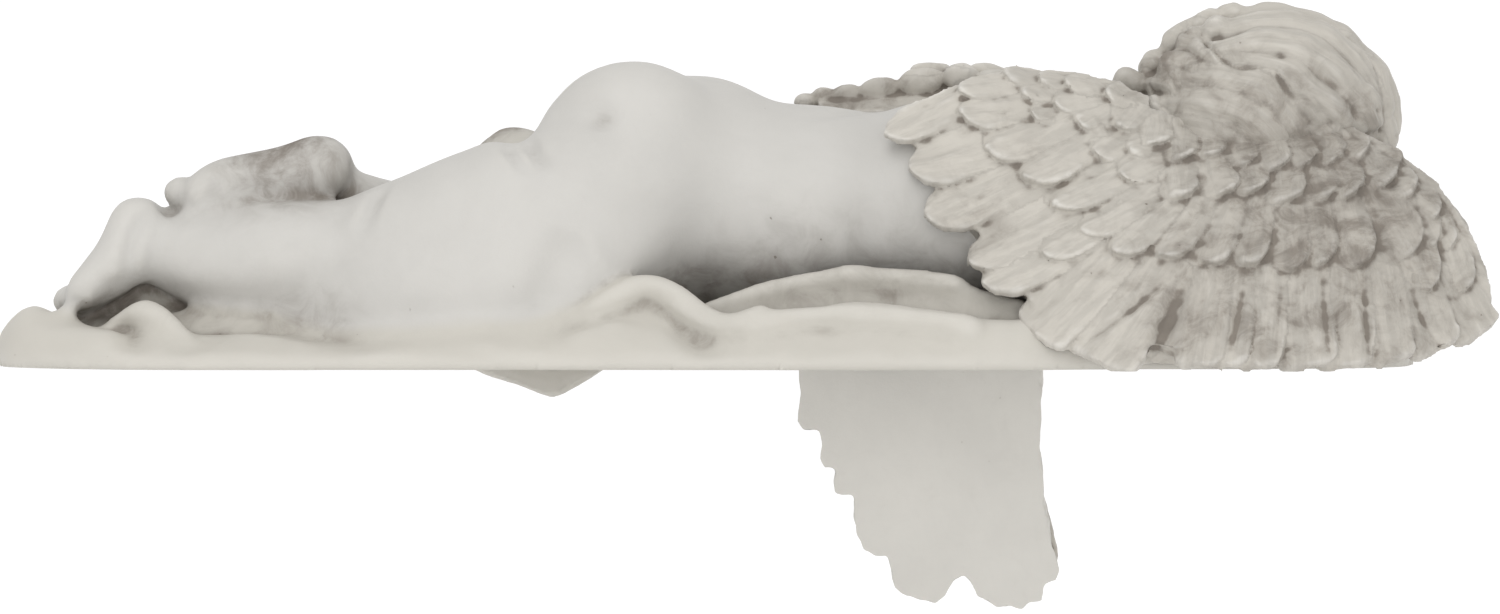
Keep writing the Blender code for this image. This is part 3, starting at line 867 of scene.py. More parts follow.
# How wash and painted shade lie on each stone: the amounts of WASH_AND_SHADE_AMOUNTS in turn. Cloth
# gathers more of the wash.
WASH_AND_SHADE_AMOUNTS = (
    "Fine amount", "Broad amount", "Painted shade amount", "Film", "Pits", "Most wash", "Wear and highlight amount",
)
FIGURE_WASH_AND_SHADE = (0.18, 0.09, 0.64, 0.05, 0.45, 0.92, 0.30)
PLUMAGE_WASH_AND_SHADE = (1.25, 0.28, 0.74, 0.30, 0.8, 0.88, 0.85)
HAIR_WASH_AND_SHADE = (0.85, 0.45, 0.72, 0.20, 0.4, 0.84, 0.75)
PLAIN_WASH = (0.3, 0.1, 0.0, 0.16, 0.3, 0.6, 0.0)
CLOTH_GATHERS = 1.6

# Carved lines: their pitch across and along the flow, how much they darken, and their height.
PLUMAGE_LINES = (0.42, 0.06, 0.10, 0.42)
HAIR_LINES = (0.5, 0.05, 0.08, 0.5)


def stone(name, colour, amounts, cloth_colour=None, strands=None):
    """A stone material with its amounts of wash and painted shade, perhaps with cloth or carved lines.
    """
    colours = bpy.context.scene.stone_colours
    material = bpy.data.materials.new(name)
    material.use_nodes = True
    tree = material.node_tree
    group = shared_group("antique wash", antique_wash_and_shade)
    wash_and_shade = node(tree, "ShaderNodeGroup", (-500, 0), node_tree=group)
    wash_and_shade.inputs["Stone"].default_value = (*colour, 1.0)
    wash_and_shade.inputs["Wash and shade"].default_value = (*colours.wash_and_shade, 1.0)
    wash_and_shade.inputs["Worn and highlit"].default_value = (*colours.worn_and_highlit, 1.0)
    for socket, amount in zip(WASH_AND_SHADE_AMOUNTS, amounts):
        wash_and_shade.inputs[socket].default_value = amount
    if cloth_colour is not None:
        clothed = attribute(tree, (-1000, 100), "clothed")
        both = (*colour, 1.0), (*cloth_colour, 1.0)
        plug(tree, wash_and_shade.inputs["Stone"], mixed(tree, (-750, 100), "MIX", clothed, *both))
        fine = amounts[0]
        more = ramped(tree, (-750, -120), clothed, 0.0, 1.0, fine, fine * CLOTH_GATHERS)
        plug(tree, wash_and_shade.inputs["Fine amount"], more)
    colour_out, relief_out = wash_and_shade.outputs["Colour"], wash_and_shade.outputs["Relief"]
    if strands is not None:
        across, along, darkening, depth = strands
        group = shared_group("carved strands", carved_strands)
        lines = node(tree, "ShaderNodeGroup", (-500, -400), node_tree=group)
        lines.inputs["Across"].default_value = across
        lines.inputs["Along"].default_value = along
        carved = lines.outputs["Strands"]
        tone = ramped(tree, (-250, -500), carved, 0.0, 1.0, 1.0 - darkening, 1.0 + 0.3 * darkening)
        colour_out = mixed(tree, (-50, 100), "MULTIPLY", 1.0, colour_out, tone)
        raised = maths(tree, (-250, -700), "MULTIPLY", carved, depth)
        relief_out = maths(tree, (-80, -600), "ADD", relief_out, raised)
    bump = node(tree, "ShaderNodeBump", (100, -250), values={"Strength": 0.4, "Distance": 0.0005})
    plug(tree, bump.inputs["Height"], relief_out)
    shader = tree.nodes["Principled BSDF"]
    plug(tree, shader.inputs["Base Color"], colour_out)
    plug(tree, shader.inputs["Roughness"], wash_and_shade.outputs["Roughness"])
    plug(tree, shader.inputs["Normal"], bump.outputs["Normal"])
    shader.location = (350, 100)
    shader.inputs["Specular IOR Level"].default_value = 0.35
    return material


# The child's body.

# Voxel sizes of the masses before they are joined, and how much the torso is swelled, in metres.
TORSO_GRAIN = 0.0026
TORSO_SWELL = 0.0012
BODY_GRAIN = 0.0014
TOE_GRAIN = 0.0009
CLOTH_GRAIN = 0.0012
SKULL_GRAIN = 0.0007

# Over what difference in distance flesh changes to cloth, in metres.
CLOTH_BLEND = 0.0045

TORSO = (
    ((-22, 0, 43), (33, 36, 31)),
    ((-31, -17, 55.5), (25, 20, 25)),
    ((-31, 17, 55), (25, 20, 24.5)),
    ((-13, 0, 48), (28, 28, 29)),
    ((14, 0, 39.5), (44, 35, 29.5)),
    ((60, 0, 41), (44, 38, 31)),
    ((53, 33, 49), (35, 24, 26)),
    ((88, -20, 39), (22, 18, 20)),
    ((90, 24, 42), (22, 20, 22)),
    ((112, 2, 52), (22, 20, 20)),
)
NEAR_THIGH = ((-36, -20, 42, 27), (-60, -24, 33, 27), (-80, -26, 29, 24), (-97, -28, 28, 18.5))
NEAR_THIGH_BASE = (
    (-50, -24, 27, 26), (-68, -28, 23, 25), (-86, -31, 20, 22), (-102, -32, 16, 16), (-113, -33, 11, 10),
)
NEAR_CALF = (
    (-97, -28, 28, 17.5),
    (-110, -28, 27.5, 16),
    (-124, -28, 28.0, 15.6),
    (-138, -28, 27.6, 14.2),
    (-148.5, -28, 29.8, 11.6),
    (-157, -28, 32, 9),
)
NEAR_FOOT = (
    (-160.4, -28, 37.6, 7.4), (-162.3, -28, 30.5, 8.2), (-167, -28, 25.2, 7.2),
    (-172, -28, 21, 5.9), (-176, -28, 18, 5.1),
)
FAR_FOOT = (
    (-114, -14, 52, 9.3), (-122, -16, 50, 8.2), (-131, -18, 48.8, 7.4),
    (-138, -20, 47.6, 7.2), (-143, -21, 45.4, 6.2),
)
FAR_THIGH = ((-34, 20, 42, 26), (-50, 34, 35, 22), (-64, 44, 28, 17))
FAR_CALF = ((-64, 44, 28, 16), (-78, 30, 32, 14), (-92, 10, 37, 11), (-105, -8, 43, 8.5))
NEAR_ARM = ((90, -26, 34, 15), (114, -40, 22, 13), (134, -42, 16, 12), (162, -18, 17, 9.5))
FAR_ARM = ((92, 32, 40, 18), (112, 44, 22, 14), (126, 46, 16, 12), (158, 38, 15, 9))

# Creases of the flesh as they are seen from the back: a path of x and z, half width and depth.
FLESH_CREASES = (
    (((-95.5, 47), (-97, 44.6), (-98.3, 41), (-100, 36)), 2.6, 1.9),
    (((-106, 42), (-108, 38), (-107, 33)), 3.4, 0.8),
    (((-63.5, 58.5), (-61.5, 55.5), (-58.5, 51.5)), 1.9, 2.0),
    (((-58.5, 60.5), (-56.5, 57), (-53.7, 52.5)), 2.0, 2.2),
    (((-56, 60), (-54, 50), (-52, 42)), 6.0, 0.9),
    (((-46, 36), (-50, 24), (-53, 12)), 7.0, 2.2),
    (((-43, 36), (-39, 28), (-34, 20)), 3.0, -0.7),
    (((-39.2, 67), (-38.6, 64.5), (-38, 62)), 5.0, 2.2),
    (((-157, 41), (-160.5, 34), (-161.5, 26), (-161, 18)), 2.6, 1.9),
    (((-155, 46), (-153.6, 42.5), (-151.4, 40)), 3.0, 2.6),
    (((-139, 50), (-140, 47), (-141, 43)), 2.2, 1.0),
    (((16, 65.5), (26, 66.5), (35, 67.5)), 2.4, 0.9),
    (((-20, 32), (-14, 22), (-12, 12)), 7.0, 1.2),
    (((4, 44), (8, 32), (6, 20)), 5.0, 0.8),
    (((26, 46), (30, 34), (28, 20)), 5.0, 0.8),
)

# The groove between the buttocks and down the spine: a path in shares, half width and depth.
BACK_CREASES = (
    (((-60, -34, 57), (-60.5, -24, 61), (-61, -13, 63), (-61, -2, 62)), 6.5, 4.6),
    (((-60, 0, 56), (-56, 0, 66), (-44, 0, 78), (-28, 0, 82), (-14, 0, 78)), 3.4, 3.0),
    (((-14, 0, 78), (6, 0, 73), (30, 0, 71), (54, 0, 71), (70, 0, 72)), 5.0, 1.2),
)


def toe_row(shape, big_toe, last_toe, big_radius, small_radius):
    """Five toes in a row from the big one to the last, each with its nail end."""
    for k in range(5):
        t = k / 4
        centre = [a + (b - a) * t for a, b in zip(big_toe, last_toe)]
        radius = big_radius + (small_radius - big_radius) * min(1, t * 2)
        ball(shape, centre, (radius * 1.3, radius, radius), detail=3)


def body_mass():
    """The body: torso and hips in one soft skin, with calves, arms and feet worked on to it."""
    clay = bmesh.new()
    masses(clay, TORSO)
    for path in (NEAR_THIGH, NEAR_THIGH_BASE, FAR_THIGH):
        limb(clay, path)
    torso = object_from(clay, "torso mass")
    fuse(torso, TORSO_GRAIN, 24)
    refine(torso)
    swell(torso, TORSO_SWELL)
    clay = bmesh.new()
    clay.from_mesh(torso.data)
    bpy.data.objects.remove(torso)
    for path in (NEAR_CALF, FAR_CALF, NEAR_ARM, FAR_ARM):
        limb(clay, path)
    for path in (NEAR_FOOT, FAR_FOOT):
        for side in (-4, 0, 4):
            spread = [(x, y + side * (1 + 0.25 * k), z, r) for k, (x, y, z, r) in enumerate(path)]
            limb(clay, spread)
    thing = object_from(clay, "body mass")
    fuse(thing, BODY_GRAIN, 16)
    return thing


def hand_and_toe_shapes():
    """The toes, and the hands under the cheek."""
    shape = bmesh.new()
    toe_row(shape, (-178.5, -18.5, 16.8), (-174, -38, 18), 4.6, 3.2)
    toe_row(shape, (-148.6, -26.5, 45.6), (-139.5, -27, 38.6), 4.3, 3.0)
    ball(shape, (166, 34, 16), (8.5, 7.5, 5.5), (0, 0, -12))
    ball(shape, (170, -6, 18), (9, 7.5, 5.5), (0, 0, 60))
    clay = bmesh.new()
    pour(clay, shape)
    for k in range(4):
        y = 40 - 4.2 * k
        limb(clay, ((170, y, 16, 2.9), (177, y - 1, 17, 2.7), (182, y - 3, 14.5, 2.4)), 2)
    return clay


# The cloth.

NEAR_RIM = (
    (-200, -8), (-197, -28), (-186, -44), (-168, -55), (-146, -60), (-110, -60), (-60, -59),
    (-20, -60), (30, -62), (70, -60), (100, -54), (130, -52), (156, -46), (170, -34), (177, -12),
)
FRONT_RIM = (
    (-200, -8), (-192, 14), (-172, 34), (-140, 48), (-100, 55), (-60, 57), (-20, 56), (30, 57),
    (80, 57), (130, 54), (162, 52), (178, 40), (184, 22), (177, -12),
)
CLOTH_THICKNESS = 4.5
RIM_ROUNDING = 5.0
CLOTH_GRID = (230, 84)

# Crests of the folds: rows of x, y, height and half width, in shares.
FOLDS = (
    ((-198, -4, 6, 6), (-194, -18, 8.5, 8.4), (-187, -32, 14.4, 8.6), (-177, -41, 12, 8),
     (-166, -46, 10, 7)),
    ((-168, -28, 9, 6), (-159, -35, 16, 5), (-156, -42, 15, 4.5), (-152, -50, 9, 4.5),
     (-148, -57, 4, 4.5)),
    ((-152, -44, 7, 6), (-132, -49, 10, 6.5), (-116, -50, 8.3, 6), (-100, -50, 6.7, 6),
     (-76, -50, 5, 6)),
    ((-152, -33, 14, 7), (-136, -35, 15, 8), (-120, -38, 13, 7), (-108, -42, 10, 7)),
    ((-108, -44, 8, 6.5), (-92, -46, 10, 8), (-76, -48, 11, 8.8), (-60, -48, 11, 8.8),
     (-47, -46, 11, 8)),
    ((-42, -48, 11, 6), (-32, -48, 15, 6.5), (-23, -49, 13, 6)),
    ((-58, -42, 9, 5), (-47, -45, 13, 4.4), (-36, -45, 20.5, 3.8), (-26, -44.5, 26, 3.8),
     (-19, -46.5, 21.5, 3.8), (-11, -49.5, 14, 3.8), (-3, -52, 14, 4.8), (10, -53, 15.8, 6),
     (26, -53, 17.3, 6.5), (42, -53, 15.8, 6.5), (60, -54, 13.5, 7), (84, -54, 12, 8)),
    ((-15, -40, 16, 5), (4, -41, 22, 5), (23, -40, 26, 4.6), (40, -40, 25, 4.6),
     (54, -42, 24, 4.6), (70, -46, 19, 5)),
    ((-52, -52, 7, 4.2), (-43, -53, 10.5, 4.5), (-35, -53, 12.5, 4.5), (-27, -53, 11, 4.5),
     (-18, -54, 7, 4)),
    ((-28, -36, 14, 7), (0, -38, 15, 6), (30, -38, 18, 6), (60, -40, 16, 8)),
    ((-178, -22, 12, 8), (-164, -25, 14, 10), (-150, -26, 15, 10), (-134, -26, 14, 9)),
    ((-176, -18, 15, 7), (-162, -22, 23, 7), (-148, -22, 22, 8), (-132, -22, 18, 9),
     (-112, -24, 14, 9)),
    ((-188, 2, 10, 7), (-172, -4, 13, 8), (-150, 2, 10, 8), (-128, 14, 12, 8), (-108, 28, 9, 8)),
    ((-182, 22, 8, 6), (-158, 32, 11, 6), (-132, 40, 8, 6), (-110, 48, 11, 6), (-88, 50, 9, 6)),
    ((-168, 12, 9, 5), (-146, 20, 12, 5), (-124, 26, 9, 6)),
    ((-36, 44, 13, 6), (-16, 48, 15, 6), (6, 46, 12, 6), (26, 50, 12, 7)),
    ((84, 50, 11, 7), (110, 46, 13, 7), (140, 48, 9, 6), (168, 42, 8, 6)),
    ((104, 10, 15, 14), (132, 8, 18, 16), (160, 4, 16, 15), (178, -4, 11, 10)),
    ((182, -26, 9, 7), (186, -6, 8, 7), (184, 16, 9, 6), (172, 34, 8, 6)),
)

# Rolled hems that stand out sharply on the folds: rows of x, y, z and radius.
HEMS = (
    ((-197, -10, 4, 3), (-193, -22, 8, 4), (-185, -33, 12.6, 4), (-177, -40, 9.6, 3.6),
     (-168, -46, 6.5, 3)),
    ((-163, -31, 11, 2.6), (-158, -37, 14.6, 2.8), (-155, -44, 11.5, 2.8), (-150, -52, 5.5, 2.6),
     (-146, -57, 1.5, 2.4)),
    ((-56, -43, 8, 3.4), (-46, -46.5, 11, 3.8), (-36, -47, 17.6, 4), (-27, -46, 22, 4),
     (-20, -48, 19.4, 4), (-13, -50.5, 13.4, 3.9), (-6, -53, 10.8, 3.8), (-1, -54.5, 12, 3.6),
     (3, -53.5, 14.4, 2.8)),
    ((0, -55, 10.6, 3.8), (12, -55.5, 13, 3.6), (26, -56, 14.2, 3.6), (40, -56, 13, 3.8),
     (56, -57, 10.4, 3.8)),
    ((-12, -41, 15, 2.6), (4, -42, 20, 2.8), (22, -41, 23.6, 2.8), (40, -41, 23, 2.8),
     (54, -43, 21.6, 2.8)),
    ((-100, -53, 3, 2.6), (-118, -54, 4.4, 2.8), (-136, -53, 5.4, 2.6)),
    ((-168, -36, 8, 3), (-161, -40, 14.5, 3.6), (-155, -44, 14, 3.8), (-149, -48, 9, 3.4),
     (-143, -52, 4, 3)),
)

# Cloth drawn up over the front hip, and the corner of it that hangs past the shelf's edge.
DRAPE = (
    ((-58, 22, 50, 9), (-65.5, 38, 52.8, 11.5), (-69, 48, 42, 10), (-68, 55, 24, 8), (-62, 60, 4, 5)),
    ((-47, 36, 50, 8), (-46, 50, 42, 8.5), (-44, 56, 24, 7), (-45, 60, 4, 5)),
    ((-82, 30, 34, 8), (-88, 44, 24, 8), (-86, 54, 10, 6), (-80, 60, 1, 4)),
    ((-57, 50, 36, 10), (-56, 55, 16, 9), (-56, 61, -2, 5)),
    ((-72, 46, 34, 11), (-74, 52, 14, 9)),
)
HANGING_FOLDS = (
    ((-80, 60, 2, 3.6), (-72, 61, -1.5, 4.2), (-63, 61, -4.5, 4.6), (-55, 61, -8.4, 3.8)),
    ((-55, 61, -8.4, 3.8), (-49, 61, -4.4, 4.2), (-42, 60, 0, 3.8), (-36, 59, 3, 3.6)),
    ((-72, 60, 2, 4.2), (-56, 60, 0, 5), (-42, 60, 2, 4)),
)

# Pleats pressed into the finished cloth: a path in shares, its half width and its depth.
CLOTH_CREASES = (
    (((-183, -30, 15), (-177, -33, 13), (-169, -36, 11), (-161, -38, 10)), 2.6, 3.4),
    (((-194, -16, 11), (-188, -24, 14), (-180, -32, 14), (-172, -38, 10)), 1.5, 1.3),
    (((-166, -24, 16), (-160, -28, 17), (-154, -34, 14), (-150, -42, 11)), 1.5, 1.2),
    (((-146, -47, 10), (-126, -50, 9), (-106, -52, 8), (-84, -53, 7)), 1.4, 1.2),
    (((-128, -40, 9), (-112, -44, 9), (-92, -45, 8)), 1.5, 1.1),
    (((-56, -40, 12), (-46, -43, 17), (-36, -44, 24), (-27, -45, 27)), 1.2, 0.9),
    (((-50, -50, 12), (-42, -52, 14), (-34, -53, 16), (-26, -53, 17)), 1.3, 1.3),
    (((-26, -51, 20), (-18, -52, 18), (-11, -54, 14), (-5, -56, 12)), 1.1, 1.0),
    (((6, -54, 17), (20, -56, 18), (36, -57, 17), (52, -57, 14)), 1.2, 1.2),
    (((-6, -46, 20), (14, -48, 22), (34, -48, 22), (50, -49, 18)), 1.4, 1.6),
    (((-8, -36, 22), (12, -38, 25), (32, -38, 25), (48, -40, 24)), 1.3, 1.1),
    (((60, -50, 15), (72, -52, 14), (84, -53, 13)), 1.3, 0.9),
    (((-70, 40, 60), (-76, 50, 46), (-74, 57, 26), (-68, 62, 6)), 1.6, 1.6),
    (((-56, 44, 56), (-55, 55, 40), (-53, 60, 22), (-52, 64, 2)), 1.5, 1.5),
    (((-62, 46, 54), (-64, 56, 38), (-62, 62, 18), (-60, 65, -1)), 1.3, 1.1),
    (((-84, 40, 40), (-92, 50, 24), (-90, 58, 8)), 1.5, 1.3),
    (((-46, 48, 46), (-44, 57, 30), (-42, 61, 12), (-40, 64, 4)), 1.4, 1.3),
    (((-150, 26, 12), (-126, 34, 13), (-104, 42, 12)), 1.8, 1.4),
    (((-176, 12, 12), (-154, 20, 13), (-134, 26, 12)), 1.8, 1.4),
    (((-26, 50, 16), (-6, 52, 15), (14, 52, 14)), 1.6, 1.3),
    (((100, 50, 14), (124, 50, 14), (150, 48, 11)), 1.6, 1.2),
    (((170, -20, 10), (178, -6, 10), (176, 12, 10)), 1.8, 1.2),
)


def along_rim(rim, x):
    """The y of a rim of the cloth at some x, all in shares."""
    knots = np.array(rim, float)
    return np.interp(x, knots[:, 0], knots[:, 1])


def fold_height(x, y):
    """The cloth's height where the folds cross, for arrays of x and y in shares."""
    height = np.full(x.shape, CLOTH_THICKNESS)
    for path in FOLDS:
        for row in along_path(path, 8):
            far = ((x - row[0]) ** 2 + (y - row[1]) ** 2) / row[3] ** 2
            crest = CLOTH_THICKNESS + (row[2] - CLOTH_THICKNESS) * np.exp(-far)
            height = np.maximum(height, crest)
    return height


def bedding_grid(clay):
    """The cloth's top as a grid between its rims, closed by the flat underside."""
    columns, rows = CLOTH_GRID
    near, front = along_path(NEAR_RIM, 8), along_path(FRONT_RIM, 8)
    low, high = near[0][0], near[-1][0]
    grid = bmesh.new()
    bmesh.ops.create_grid(grid, x_segments=columns, y_segments=rows, size=0.5)
    places = np.array([vert.co[:2] for vert in grid.verts]) + 0.5
    x = low + (high - low) * (0.5 - 0.5 * np.cos(places[:, 0] * math.pi))
    start, end = along_rim(near, x), along_rim(front, x)
    y = start + (end - start) * places[:, 1]
    inward = np.minimum(np.minimum(y - start, end - y), np.minimum(x - low, high - x))
    rounding = 1 - (1 - np.clip(inward / RIM_ROUNDING, 0, 1)) ** 2
    z = fold_height(x, y) * (0.35 + 0.65 * np.sqrt(rounding))
    for vert, place in zip(grid.verts, zip(x, y, z)):
        vert.co = shares(*place)
    made = bmesh.ops.extrude_face_region(grid, geom=list(grid.faces))["geom"]
    for item in made:
        if isinstance(item, bmesh.types.BMVert):
            item.co.z = 0.0
    bmesh.ops.recalc_face_normals(grid, faces=list(grid.faces))
    pour(clay, grid)


def cloth_mass():
    """The folded cloth with the corner that hangs past the shelf, fused and creased."""
    clay = bmesh.new()
    bedding_grid(clay)
    for path in (*HEMS, *DRAPE, *HANGING_FOLDS):
        limb(clay, path)
    thing = object_from(clay, "cloth mass")
    fuse(thing, CLOTH_GRAIN, 8)
    crease(thing, CLOTH_CREASES)
    roughen(thing, ((0.030, 0.00035, 1), (0.012, 0.00016, 2)))
    return thing


def nearness(mesh, points):
    """How far each point in metres lies from a mesh."""
    clay = bmesh.new()
    clay.from_mesh(mesh)
    tree = BVHTree.FromBMesh(clay)
    clay.free()
    return np.array([tree.find_nearest(Vector(point))[3] for point in points])


def figure_and_cloth(field):
    """The child's body fused with the cloth that it lies on."""
    sizes = bpy.context.scene.angel_sizes
    flesh = body_mass()
    extras = object_from(hand_and_toe_shapes(), "hands and toes")
    fuse(extras, TOE_GRAIN, 3)
    crease_seen(flesh, FLESH_CREASES)
    crease(flesh, BACK_CREASES)
    rest_on_shelf(flesh)
    rest_on_shelf(extras)
    bedding = cloth_mass()
    joined = bmesh.new()
    for thing in (flesh, extras, bedding):
        joined.from_mesh(thing.data)
    figure = object_from(joined, "figure")
    fuse(figure, sizes.figure_grain, 2)
    drop_hollows(figure)
    points = read_points(figure.data)
    from_flesh = np.minimum(nearness(flesh.data, points), nearness(extras.data, points))
    from_cloth = nearness(bedding.data, points)
    soften_seam(figure, from_flesh, from_cloth)
    roughen(figure, ((0.018, 0.00012, 3),))
    true_up(figure, 0.0013)
    mark_hollows(figure)
    mark_painted_shade(figure, field)
    mark(figure, "clothed", np.clip(0.5 + (from_flesh - from_cloth) / CLOTH_BLEND, 0, 1))
    for thing in (flesh, extras, bedding):
        bpy.data.objects.remove(thing)
    thin_out(figure, sizes.triangle_limit)
    return figure


# The wings. A wing is a sheet between a ridge, where its feathers start, and their tips.

NEAR_RIDGE = (
    (68, -14, 77), (75, -14, 77), (81, -15, 76), (88, -16, 75), (95, -17, 72.5), (101, -18, 70),
    (107, -20, 67), (118, -22, 63.5), (130, -24, 62.5), (142, -24, 63.5), (154, -24, 63.5),
    (163, -26, 60), (169, -28, 55.5), (175, -30, 51.5), (179, -32, 47.5),
)
NEAR_TIPS = (
    (36, -29, 60), (42, -35, 50.5), (46, -41, 40), (57, -46, 28), (65, -53, 17), (75, -62, 3),
    (92, -70, -1.5), (110, -73, -2), (125, -75, -2), (140, -75, -2), (155, -73, -2),
    (170, -68, -1), (182, -60, 2), (192, -52, 9), (191, -45, 24.5),
)
NEAR_BULGE = 5.0

FAR_SECTION = (
    (8, 57), (21, 68.5), (33, 73.5), (46, 71), (56, 60), (62, 42), (65, 20), (65, 0), (65, -80),
)
SECTION_ABOVE_SHELF = 7

# Stations of the far wing: x, and the way down along its section from the shelf's top.
FAR_ROOTS = (
    (64, -116), (72, -107), (78, -97), (81, -86), (83, -74), (84, -62), (84, -50), (83, -40),
    (83, -30), (82, -20), (82, -10), (82, 0), (82, 8), (81, 16), (81, 24), (82, 30), (82, 36),
)
FAR_TIPS = (
    (15, -112), (12, -94), (10, -74), (9, -54), (10, -34), (12, -14), (13, 6), (14, 20.5),
    (20, 31), (23, 39), (30, 57), (40, 65), (51, 70.5), (58.5, 63.5), (67, 69),
    (78, 70), (88, 60),
)

# The near wing's feathers, in tiers from the longest to those of the ridge. Each tier has how
# proud its tips are, how straight and how square its blades are, and rows of root, tip and half
# width, with x and z as they look from the front, carried to the upright plane through X.
NEAR_TIERS = (
    (0.9, 0.86, 2.6, (
        (186, 25, 195.5, 7, 4.8), (177.5, 25, 184.5, 3, 5.6), (168.5, 24, 171, 0, 5.6),
        (159.5, 24, 160, -1.6, 6.4), (148, 25, 148, -1.6, 6.4), (138.5, 25, 136.5, -1.6, 5.2),
        (131, 25, 128.5, -1.4, 4.4), (124.5, 25, 119.5, -1, 5.4), (110, 28, 93, -0.5, 9.6),
        (99.5, 31, 76.5, 7, 6.8),
    )),
    (1.6, 0.66, 2.0, (
        (183, 40, 191.5, 18.5, 4.4), (176, 48, 187, 29.5, 4.2), (172, 50, 181, 18, 5.0),
    )),
    (2.3, 0.62, 2.0, (
        (173, 49, 183, 30, 4.6), (165, 48, 176, 27.5, 5.4), (157, 45.5, 162, 24.5, 5.8),
        (150, 45, 152, 25, 4.9), (143.5, 45, 143, 23.5, 5.2), (136, 45.5, 131.5, 25, 5.2),
        (129, 44, 120.5, 26, 5.0), (121, 45.5, 110, 27, 5.2), (115, 45, 96.5, 29.5, 4.9),
        (93, 36.5, 62.5, 19.5, 6.0), (100, 42, 78, 28, 4.8), (110.5, 47, 89, 33.5, 4.7),
        (87.5, 41, 58, 27, 5.6), (76.5, 52, 46.5, 39, 6.4),
    )),
    (2.6, 0.60, 1.9, (
        (175.5, 50, 183, 37, 3.8), (170, 53, 177, 44, 4.0), (164, 55.5, 169.5, 46, 4.9),
        (157, 54, 160.5, 43, 4.8), (150, 54, 153, 42.5, 4.8), (142, 54, 143, 41.5, 5.2),
        (132, 54, 133.5, 44, 4.9), (123, 54, 125, 43, 5.1), (113.5, 54, 113.5, 42.5, 5.2),
        (103.5, 53.5, 81, 41, 4.8), (94.5, 62.5, 72.5, 48.5, 5.8), (66, 58, 42.5, 51, 5.6),
        (85.5, 66, 63, 56, 6.0), (58, 72, 36.5, 59.5, 4.6),
    )),
    (1.9, 0.60, 1.9, (
        (167, 57, 173, 51, 3.4), (159, 60, 163.5, 54, 4.2), (151.5, 61.5, 155.5, 52.5, 4.7),
        (144.5, 62, 147, 51, 4.7), (137, 62, 138.5, 50, 4.9), (129.5, 63, 130.5, 51.5, 4.8),
        (122, 63, 122.5, 54, 4.8), (114.5, 64, 115, 53, 4.8), (107.5, 65, 107.5, 57, 4.6),
        (110, 56, 98.5, 50.5, 4.4), (101, 62, 91.5, 55.5, 4.2), (111, 61, 101, 57, 3.6),
    )),
    (2.2, 0.60, 1.9, (
        (77, 70, 56, 65.5, 4.8), (104.5, 70, 97.5, 62.5, 4.0), (95.5, 68.5, 87, 64, 3.4),
        (86.5, 68, 75, 66, 2.9), (94.5, 71.5, 81, 69, 3.2), (85.5, 72.5, 72.5, 72.5, 2.9),
        (75, 76, 55.5, 72.5, 3.4),
    )),
    (2.0, 0.60, 1.9, (
        (83, 76, 68, 76.5, 2.6), (99.5, 73.5, 84, 74, 2.9), (91, 75.5, 77, 76, 2.6),
        (107, 69.5, 95, 72, 2.9),
    )),
)

# Grooves between and along the near wing's longest feathers: x and z, half width and depth.
NEAR_GROOVES = (
    (((111, 22), (107, 14), (104, 8), (102, 3)), 3.0, 2.0),
    (((126, 22), (124, 14), (121.7, 6)), 1.6, 1.0),
    (((135.5, 22), (134, 12), (133, 4)), 1.5, 0.6),
    (((146.3, 24), (146.2, 14), (146.5, 4)), 1.6, 1.0),
    (((157, 22), (157, 12), (157, 3)), 1.8, 1.2),
    (((169, 22), (172, 13), (176, 6)), 1.6, 0.9),
    (((105, 22), (99, 17), (92, 12), (85, 7)), 1.5, 0.8),
)

# Rows of feathers: start and end along the sheet, how many, how proud their tips are.
FAR_ROWS = (
    (0.34, 0.94, 18, 0.8),
    (0.22, 0.66, 18, 2.2),
    (0.11, 0.44, 22, 2.6),
    (0.03, 0.27, 27, 2.5),
    (-0.02, 0.14, 31, 2.4),
)
FEATHER_GRID = (14, 22)
FEATHER_STRAIGHT = 0.60
FEATHER_ARCH = 1.5
FEATHER_TILT = 1.35
FEATHER_SQUARENESS = 1.9
FEATHER_OVERLAP = 0.70
SHAFT_HEIGHT = 0.55
SEEN_ARCH = 0.95
SEEN_TILT = 1.55

# The near wing's sheet is looked up on a grid. Feathers narrower than the full half width are
# flatter, and the base under all feathers is raised a little.
SEEN_GRID = (120, 60)
SEEN_PULL = 0.95
FULL_HALF_WIDTH = 6.5
BASE_RISE = 0.9

# The far wing's back past the shelf's edge: its outline as x and z, and its thickness.
HANGING_OUTLINE = (
    (13.5, 3), (14, -10), (13.6, -18), (15, -20.6), (19.5, -20.3), (20.2, -24), (19.8, -29),
    (21, -31), (23.8, -31.2), (23.6, -35), (23.8, -38), (26, -38.8), (29.4, -38.6), (29.2, -45),
    (30, -49.4), (32, -54), (35, -55.8), (38.6, -55.6), (39.8, -60), (40.6, -64.4), (44, -67),
    (49.6, -68.6), (51.8, -69.4), (54.6, -67), (57.2, -62.6), (59.8, -61.2), (61.6, -63),
    (63.6, -67.2), (67.4, -69), (69.2, -70.4), (73, -70), (76.2, -70.8), (77.8, -68.8),
    (81.8, -68.6), (82.6, -63.8), (85.8, -62.6), (86.6, -59.6), (84.8, -53.4), (82, -47),
    (79.6, -43), (81.2, -40), (81.6, -33), (80.8, -27), (81.6, -17), (80.8, -9), (78, 3),
)
HANGING_BACK = 4.5

